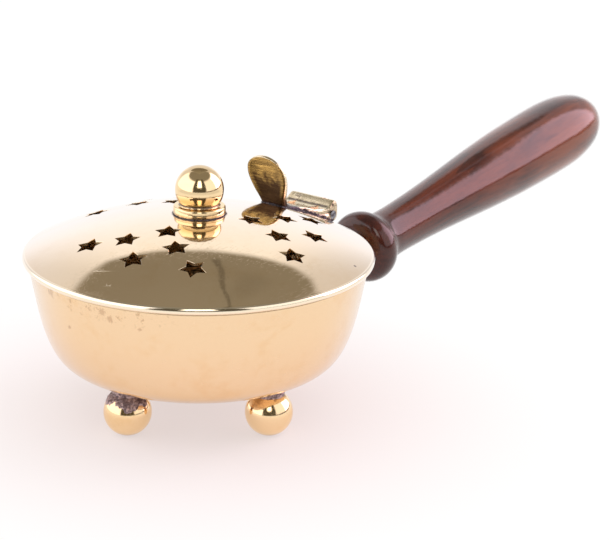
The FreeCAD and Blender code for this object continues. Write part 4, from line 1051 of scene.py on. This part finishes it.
def hinge_leaf_mesh():
    """The cast leaf: a scooped plate that ends in a ridge and a split knuckle, with softened edges."""
    lo, hi = corners("hinge_leaf")
    px, pz = 59.5, 54.5
    scoop = catmull([(41.9, 60.25), (45, 59.7), (49, 58.7), (52.2, 57.5), (55, 56.95), (57.2, 57.25), (58.9, 58.65), (60.15, 59.35),
                     (61.35, 58.95), (61.85, 57.6), (62.0, 56.0)], 6)
    head = [(41.0, 56.0), (41.0, 58.0), (41.0, 59.6), (41.3, 60.15)] + scoop[:-1]
    knuckle = [(62.0, 56.0), (62.0, 55.2)] + [(px + 2.5 * math.cos(t), pz + 2.5 * math.sin(t)) for t in np.linspace(0.1, -math.pi + 0.2, 26)]
    tail = [(57.0, 54.0), (55.2, 52.4), (52.0, 52.9), (48.0, 54.0), (44.0, 55.1)]
    full = head + knuckle + tail
    opened = head + [(61.95, 56.1)] + [(px + 2.86 * math.cos(t), pz + 2.86 * math.sin(t)) for t in np.radians(np.linspace(33, 195, 28))] + tail[1:]
    pieces_v, pieces_f, base = [], [], 0

    def width(x):
        return 5.0 if x < 41.5 else (5.0 + 2.0 * (x - 41.5) / 8.5 if x < 50 else min(9.4, 7.0 + 2.4 * (x - 50) / 7.5))

    def inset(poly, d):
        q = np.array(poly)
        a, b = q - np.roll(q, 1, 0), np.roll(q, -1, 0) - q
        a /= np.linalg.norm(a, axis=1)[:, None] + 1e-9
        b /= np.linalg.norm(b, axis=1)[:, None] + 1e-9
        t = a + b
        t /= np.linalg.norm(t, axis=1)[:, None] + 1e-9
        nn = np.column_stack([t[:, 1], -t[:, 0]])
        area = 0.5 * np.sum(q[:, 0] * np.roll(q[:, 1], -1) - np.roll(q[:, 0], -1) * q[:, 1])
        return q + nn * (d if area < 0 else -d)

    for poly, y0, y1, soft0, soft1 in ((full, -1.0, -4.9, True, False), (opened, -4.9, 4.9, False, False), (full, 4.9, 1.0, False, True)):
        rows = []
        R = 0.55
        plan = []
        if soft0:
            plan += [("w", -1, R * (1 - math.sin(t)), R * (1 - math.cos(t))) for t in np.linspace(0, math.pi / 2, 6)]
            plan += [("w", -1, 0.0, R + g) for g in (0.25, 0.7, 1.5)]
            plan += [("y", y1, 0, 0.0)]
        elif soft1:
            plan += [("y", y0, 0, 0.0)] + [("w", 1, 0.0, R + g) for g in (1.5, 0.7, 0.25)]
            plan += [("w", 1, R * (1 - math.sin(t)), R * (1 - math.cos(t))) for t in np.linspace(math.pi / 2, 0, 6)]
        else:
            plan += [("y", v_, 0, 0.0) for v_ in np.linspace(y0, y1, 9)]
        for kind, y, depth, back in plan:
            # depth is how far the outline has drawn in, back how far the row stands inside the end face
            if kind == "w":
                q = inset(poly, depth)
                yy = np.array([y * (width(x) - back) for x in np.array(poly)[:, 0]])
            else:
                q = np.array(poly)
                yy = np.array([math.copysign(min(abs(y), width(x) - 0.6), y) if y else 0.0 for x in q[:, 0]])
            rows.append(np.column_stack([q[:, 0], yy, q[:, 1]]))
        m = len(poly)
        v = np.concatenate(rows)
        f = [(base + a * m + i, base + (a + 1) * m + i, base + (a + 1) * m + (i + 1) % m, base + a * m + (i + 1) % m)
             for a in range(len(rows) - 1) for i in range(m)]
        # end caps, cut into triangles
        for row, flip in ((0, False), (len(rows) - 1, True)):
            flat2 = [Vector((rows[row][i][0], rows[row][i][2], 0.0)) for i in range(m)]
            for tri in geometry.tessellate_polygon([flat2]):
                t3 = tuple(base + row * m + i for i in tri)
                f.append(t3[::-1] if flip else t3)
        pieces_v.append(v)
        pieces_f += f
        base += len(v)
    v = np.concatenate(pieces_v)
    # hand-filed: slightly uneven, and the plate's foot follows the dome
    for i in range(len(v)):
        q = Vector((v[i] * 0.35).tolist())
        v[i, 2] += 0.10 * noise.noise(q) * (1.0 if v[i, 0] < 58 else 0.4)
    end = np.clip((np.abs(v[:, 1]) - 8.2) / 1.1, 0, 1) * np.clip((v[:, 0] - 57.5) / 1.5, 0, 1) * (v[:, 2] > 57.6)
    v[:, 2] -= 0.38 * end * end
    rr = np.linalg.norm(v - np.array([0, 0, DOME_C]), axis=1)
    low = (rr < DOME_R - 0.45) & (v[:, 0] < 55.0)
    dvec = (v - np.array([0, 0, DOME_C])) / rr[:, None]
    v[low] = np.array([0, 0, DOME_C]) + dvec[low] * (DOME_R - 0.45)
    return piece("hinge_leaf_cast", v, pieces_f, M_LEAF, "lid", ("hinge_leaf",), angle=42)


hinge_leaf_mesh()


def bead_line(name, path, size, seed, body, mat, closed=True, na=10, amp=0.45):
    """An uneven run of solder that follows a line on the dome."""
    path = [np.array(p, float) for p in path]
    n = len(path)
    rows = []
    for i, p in enumerate(path):
        a = path[(i - 1) % n] if closed or i > 0 else p
        b = path[(i + 1) % n] if closed or i < n - 1 else p
        t = b - a
        t /= np.linalg.norm(t)
        up = p - np.array([0, 0, DOME_C])
        up /= np.linalg.norm(up)
        side = np.cross(t, up)
        q = Vector((p * 0.42).tolist()) + Vector((seed, 0, 0))
        g = 1 + amp * (noise.noise(q) + 0.6 * noise.noise(q * 3.1) + 0.4 * noise.noise(q * 7.3))
        g *= 1.0 if closed else min(1.0, 0.25 + 4.0 * min(i, n - 1 - i) / n)
        ring = []
        for k in range(na):
            s = k * TAU / na
            w = Vector((math.cos(s) * 1.1 + i * 0.31, math.sin(s) * 1.1, seed))
            rr = size * g * (1 + 0.22 * noise.noise(w))
            ring.append(p + side * rr * 1.25 * math.cos(s) + up * rr * 0.75 * math.sin(s))
        rows.append(ring)
    v = np.array(rows).reshape(-1, 3)
    f = []
    for a in range(n if closed else n - 1):
        b = (a + 1) % n
        f += [(a * na + k, b * na + k, b * na + (k + 1) % na, a * na + (k + 1) % na) for k in range(na)]
    if not closed:
        f.append(tuple(range(na)))
        f.append(tuple(range((n - 1) * na, n * na))[::-1])
    return piece(name, v, f, mat, body, angle=70)


def on_dome(x, y, lift=0.0):
    r = math.hypot(x, y)
    return (x, y, float(dome_z(r)) + lift)


path = []
for i in range(150):
    a = i * TAU / 150
    cu, su = math.cos(a), math.sin(a)
    yy = 4.75 * math.copysign(abs(cu) ** 0.7, cu)
    xx = 39.35 - 1.75 * math.copysign(abs(su) ** 0.6, su)
    path.append(on_dome(xx, yy, 0.05))
bead_line("lift_solder_seam", path, 0.50, 3.3, "lid", M_SEAM)
half = lambda x: 5.0 if x < 41 else (5.0 + 2.0 * (x - 41) / 9 if x < 50 else min(9.4, 7.0 + 2.5 * (x - 50) / 7.5))
left = [on_dome(x, -half(x) - 0.02, 0.02) for x in np.linspace(41.2, 54.6, 70)]
right = [on_dome(x, half(x) + 0.02, 0.02) for x in np.linspace(41.2, 54.6, 70)]
bead_line("leaf_solder_seam_near", left, 0.42, 7.9, "lid", M_SEAM, closed=False)
bead_line("leaf_solder_seam_far", right, 0.42, 5.2, "lid", M_SEAM, closed=False)
ringp = [on_dome(8.28 * math.cos(a), 8.28 * math.sin(a), 0.0) for a in np.linspace(0, TAU, 180, endpoint=False)]
bead_line("knob_solder_seam", ringp, 0.27, 1.2, "lid", M_SEAM, amp=0.8)

# ---------------------------------------------------------------- wooden handle
bead = catmull([(0.0, 7.4), (0.25, 9.1), (1.0, 10.9), (2.5, 12.3), (5.2, 12.95), (7.8, 12.5), (9.9, 11.3), (11.3, 10.0)], 8)
swell = catmull([(11.3, 10.0), (13.6, 9.2), (18.44, 8.86), (23.82, 8.8), (32.58, 9.04), (41.45, 9.44), (50.42, 9.99), (59.58, 10.66),
                 (68.85, 11.39), (78.31, 12.12), (87.97, 12.73), (97.73, 13.29), (107.7, 13.64), (117.86, 13.93), (125.53, 14.04),
                 (133.4, 13.99), (139.97, 13.6), (145.95, 12.75), (150.93, 11.52), (155.41, 9.54), (159.0, 7.08), (161.39, 4.29),
                 (162.59, 0.0)], 6, end=(161.39, -4.29))
prof = [(0.0, 0.0)] + [(r, s) for s, r in bead[:-1]] + [(9.98, 11.22), (9.86, 11.36)] + [(max(r, 0.0), s) for s, r in swell[2:-1]] + [(0.0, 162.59)]
v, f, s = lathe(prof, 200, axes=(np.array([0, 1.0, 0]), HANDLE_UP, HANDLE_AX), origin=HANDLE_O)
lo, hi = corners("wooden_handle")
v[:, 0] += hi[0] - v[:, 0].max()
piece("handle_turned_wood", v, f, M_WOOD, "bowl", ("wooden_handle",), angle=50)

# ---------------------------------------------------------------- carried CAD nodes
for node, mat in (("hinge_bracket", M_BRACKET), ("hinge_rivets", M_RIVET), ("hinge_pin", M_STEEL),
                  ("handle_bracket", M_BRACKET), ("bracket_rivets", M_RIVET), ("handle_ferrule", M_BRACKET), ("handle_stud", M_STEEL),
                  ("fire_pan", M_PAN), ("ember_grate", M_GRATE), ("pan_lugs", M_PAN), ("knob_washer", M_RIVET), ("knob_screw", M_STEEL),
                  ("foot_braze", M_CRUST)):
    o = frame["nodes"][node]
    o.data.materials.clear()
    o.data.materials.append(mat)
    o.data.polygons.foreach_set("use_smooth", [True] * len(o.data.polygons))
    if node in ("hinge_bracket", "handle_bracket"):
        bev = o.modifiers.new("soft_edges", "BEVEL")
        bev.width = 0.0004
        bev.segments = 3
        bev.limit_method = "ANGLE"
        bev.angle_limit = math.radians(38)
        bev.harden_normals = False

# ---------------------------------------------------------------- studio
ALPHA = math.radians(50)
AWAY = (math.sin(ALPHA), math.cos(ALPHA), 0.0)
RIGHT = (math.cos(ALPHA), -math.sin(ALPHA), 0.0)

floor_me = bpy.data.meshes.new("studio_floor")
S = 60.0
floor_me.from_pydata([(-S, -S, 0), (S, -S, 0), (S, S, 0), (-S, S, 0)], [], [(0, 1, 2, 3)])
floor = bpy.data.objects.new("studio_floor", floor_me)
bpy.context.scene.collection.objects.link(floor)
m, net, p = material("studio_paper")
tc = net.new("ShaderNodeTexCoord")
far = net.length(tc.outputs["Object"], (0.0, 0.0, 0.0))
# painted shade and light: near the object the paper is painted darker and pinker
painted_bounce_tint = net.mix(net.step(far, 0.12, 0.75), (0.70, 0.655, 0.665), (0.72, 0.70, 0.73))
grainy = net.noise(tc.outputs["Object"], 900.0, 2.0, 0.5)
net.wire(p.inputs["Base Color"], net.mix(net.mul(grainy, 0.03), painted_bounce_tint, (0.7, 0.69, 0.7)))
p.inputs["Roughness"].default_value = 0.9
p.inputs["Specular IOR Level"].default_value = 0.1
glow = net.new("ShaderNodeEmission")
# painted light: the glow is tinted pink near the object, standing in for warm light bounced from the brass
net.wire(glow.inputs["Color"], net.mix(net.step(far, 0.03, 0.16), (1.0, 0.915, 0.90), (1.0, 1.0, 1.0)))
lpf = net.new("ShaderNodeLightPath")
away = net.dot(tc.outputs["Object"], (0.766, 0.643, 0.0))
room = net.mul(net.step(far, 0.26, 0.46), net.step(away, 0.05, 0.25, 1.0, 0.0))
net.wire(glow.inputs["Strength"], net.math("SUBTRACT", 1.03, net.mul(net.mul(room, lpf.outputs["Is Glossy Ray"]), 0.20)))
blend = net.new("ShaderNodeMixShader")
net.wire(blend.inputs[0], net.step(far, 0.03, 0.12, 0.60, 1.0))
net.tree.links.new(p.outputs[0], blend.inputs[1])
net.tree.links.new(glow.outputs[0], blend.inputs[2])
out = next(n for n in net.tree.nodes if n.type == "OUTPUT_MATERIAL")
# the paper is one-sided, so the underside of the object can be looked at from below
geo = net.new("ShaderNodeNewGeometry")
clear = net.new("ShaderNodeBsdfTransparent")
side = net.new("ShaderNodeMixShader")
net.tree.links.new(geo.outputs["Backfacing"], side.inputs[0])
net.tree.links.new(blend.outputs[0], side.inputs[1])
net.tree.links.new(clear.outputs[0], side.inputs[2])
net.tree.links.new(side.outputs[0], out.inputs[0])
floor_me.materials.append(m)

world = bpy.data.worlds.new("studio_world")
bpy.context.scene.world = world
world.use_nodes = True
net = Net(world.node_tree)
wout = net.new("ShaderNodeOutputWorld")
tc = net.new("ShaderNodeTexCoord")
d = tc.outputs["Generated"]
xr = net.dot(d, RIGHT)
ya = net.dot(d, AWAY)
z = net.split(d)[2]
el = net.mul(net.math("ARCSINE", net.math("MINIMUM", net.math("MAXIMUM", z, -1.0), 1.0)), 57.2958)
az = net.mul(net.math("ARCTAN2", xr, ya), 57.2958)
aaz = net.math("ABSOLUTE", az)
# back wall: white in the middle, greyer at the sides
back = net.mix(net.step(aaz, 12.0, 30.0), (1.10, 1.10, 1.13), (0.84, 0.83, 0.85))
back = net.mix(net.step(az, -34.0, -22.0, 1.0, 0.0), back, (0.82, 0.82, 0.86))
back = net.mix(net.step(az, 16.0, 32.0), back, (0.75, 0.74, 0.765))
back = net.mix(net.step(el, 2.0, 16.0, 1.0, 0.0), back, (1.06, 1.05, 1.08))
# ceiling: dark above the soft boxes
ceiling = net.step(net.add(el, net.step(aaz, 39.0, 46.0, 0.0, 7.0)), 53.0, 62.0)
col = net.mix(ceiling, back, net.mix(net.step(aaz, 36.0, 46.0), (0.36, 0.345, 0.31), (0.25, 0.235, 0.20)))
# two large soft boxes
soft = net.mul(net.band(aaz, 44.0, 54.0, 144.0, 152.0), net.band(el, -6.0, 1.0, 45.0, 53.0))
level = net.mix(net.step(az, -10.0, 10.0), (1.70, 1.68, 1.72), (1.20, 1.18, 1.20))
stripe = net.mul(net.band(az, 46.0, 50.0, 92.0, 97.0), net.band(el, 3.0, 5.0, 44.0, 50.0))
level = net.mix(stripe, level, (3.9, 2.9, 3.35))
foot = net.mul(net.step(az, 40.0, 60.0), net.band(el, -2.0, -0.5, 3.2, 4.6))
level = net.mix(foot, level, (0.16, 0.12, 0.12))
col = net.mix(soft, col, level)
# dark ceiling panel beyond the lid
edge = net.curve(az, [(-42, 54.0), (-34, 45.0), (-27.5, 42.4), (-20.7, 40.6), (-14, 41.9), (-1.8, 44.3), (8, 44.4), (17.5, 43.2),
                      (23, 42.6), (29, 43.8), (35, 47.6), (42, 56.0)])
over = net.math("SUBTRACT", el, edge)
patch = net.mul(net.step(over, -1.6, 1.8), net.step(aaz, 34.0, 40.0, 1.0, 0.0))
patch = net.mul(patch, net.step(el, 84.0, 89.0, 1.0, 0.0))
dark = net.mix(net.step(el, 50.0, 78.0), (0.262, 0.238, 0.190), (0.285, 0.265, 0.215))
pool = net.mul(net.band(az, 10.0, 18.0, 20.0, 28.0), net.band(el, 50.0, 56.0, 60.0, 70.0))
dark = net.mix(net.mul(pool, 0.6), dark, (0.215, 0.195, 0.155))
track = net.curve(el, [(46, 4.4), (50.3, 5.0), (53.6, 6.8), (61.8, 10.0), (68.2, 17.8), (74, 27.0)])
wav = net.noise(net.map(d, scale=(1, 1, 1)), 26.0, 3.0, 0.6)
off = net.math("ABSOLUTE", net.math("SUBTRACT", net.add(az, net.mul(net.math("SUBTRACT", wav, 0.5), 1.8)), track))
line = net.mul(net.step(off, 0.55, 1.7, 1.0, 0.0), net.band(el, 47.5, 50.0, 72.0, 76.0))
dark = net.mix(net.mul(line, 0.75), dark, (0.13, 0.115, 0.09))
col = net.mix(patch, col, dark)
# the unlit side behind the camera, narrowing upwards, with a small lamp in it
width = net.step(el, 10.0, 70.0, 33.0, 27.0)
gap = net.math("SUBTRACT", net.math("SUBTRACT", 180.0, aaz), width)
front = net.mul(net.step(gap, -4.0, 3.0, 1.0, 0.0), net.step(el, 58.0, 66.0, 1.0, 0.0))
col = net.mix(front, col, (0.10, 0.092, 0.07))
spot = net.mul(net.step(net.math("SUBTRACT", 180.0, aaz), 6.0, 15.0, 1.0, 0.0), net.band(el, 18.0, 28.0, 48.0, 60.0))
col = net.mix(spot, col, (3.2, 3.1, 2.95))
lp = net.new("ShaderNodeLightPath")
col = net.mix(lp.outputs["Is Camera Ray"], col, (1.03, 1.03, 1.03))
bg = net.new("ShaderNodeBackground")
net.wire(bg.inputs["Color"], col)
bg.inputs["Strength"].default_value = 1.0
net.tree.links.new(bg.outputs[0], wout.inputs[0])


def area(name, where, target, size, power, colour=(1, 1, 1), glossy=False):
    li = bpy.data.lights.new(name, "AREA")
    li.shape = "RECTANGLE"
    li.size, li.size_y = size
    li.energy = power
    li.color = colour
    o = bpy.data.objects.new(name, li)
    o.location = where
    o.rotation_mode = "QUATERNION"
    o.rotation_quaternion = (Vector(target) - Vector(where)).to_track_quat("-Z", "Y")
    bpy.context.scene.collection.objects.link(o)
    o.visible_glossy = glossy
    o.visible_camera = False
    return o


centre = (Vector(cad_lo) + Vector(cad_hi)) / 2
area("overhead_soft", (0.15, 0.0, 1.5), (0.05, 0.0, 0.0), (2.6, 2.6), 19.0)

# ---------------------------------------------------------------- camera
cam_data = bpy.data.cameras.new("camera")
cam = bpy.data.objects.new("camera", cam_data)
bpy.context.scene.collection.objects.link(cam)
cam.matrix_world = Matrix(((0.606757, 0.236800, -0.758810, -0.491975),
                           (-0.794623, 0.205267, -0.571331, -0.412900),
                           (0.020461, 0.949627, 0.312714, 0.259435),
                           (0, 0, 0, 1)))
cam_data.sensor_width = 36.0
cam_data.lens = 123.995
cam_data.clip_start = 0.02
cam_data.clip_end = 100.0
focus = bpy.data.objects.new("focus_point", None)
focus.location = (-0.005, -0.02, 0.062)
bpy.context.scene.collection.objects.link(focus)
cam_data.dof.use_dof = True
cam_data.dof.focus_object = focus
cam_data.dof.aperture_fstop = 38.0
bpy.context.scene.camera = cam
vs = bpy.context.scene.view_settings
vs.view_transform = "Standard"
vs.look = "None"
vs.exposure = 0.0
vs.gamma = 1.0

bpy.context.view_layer.update()
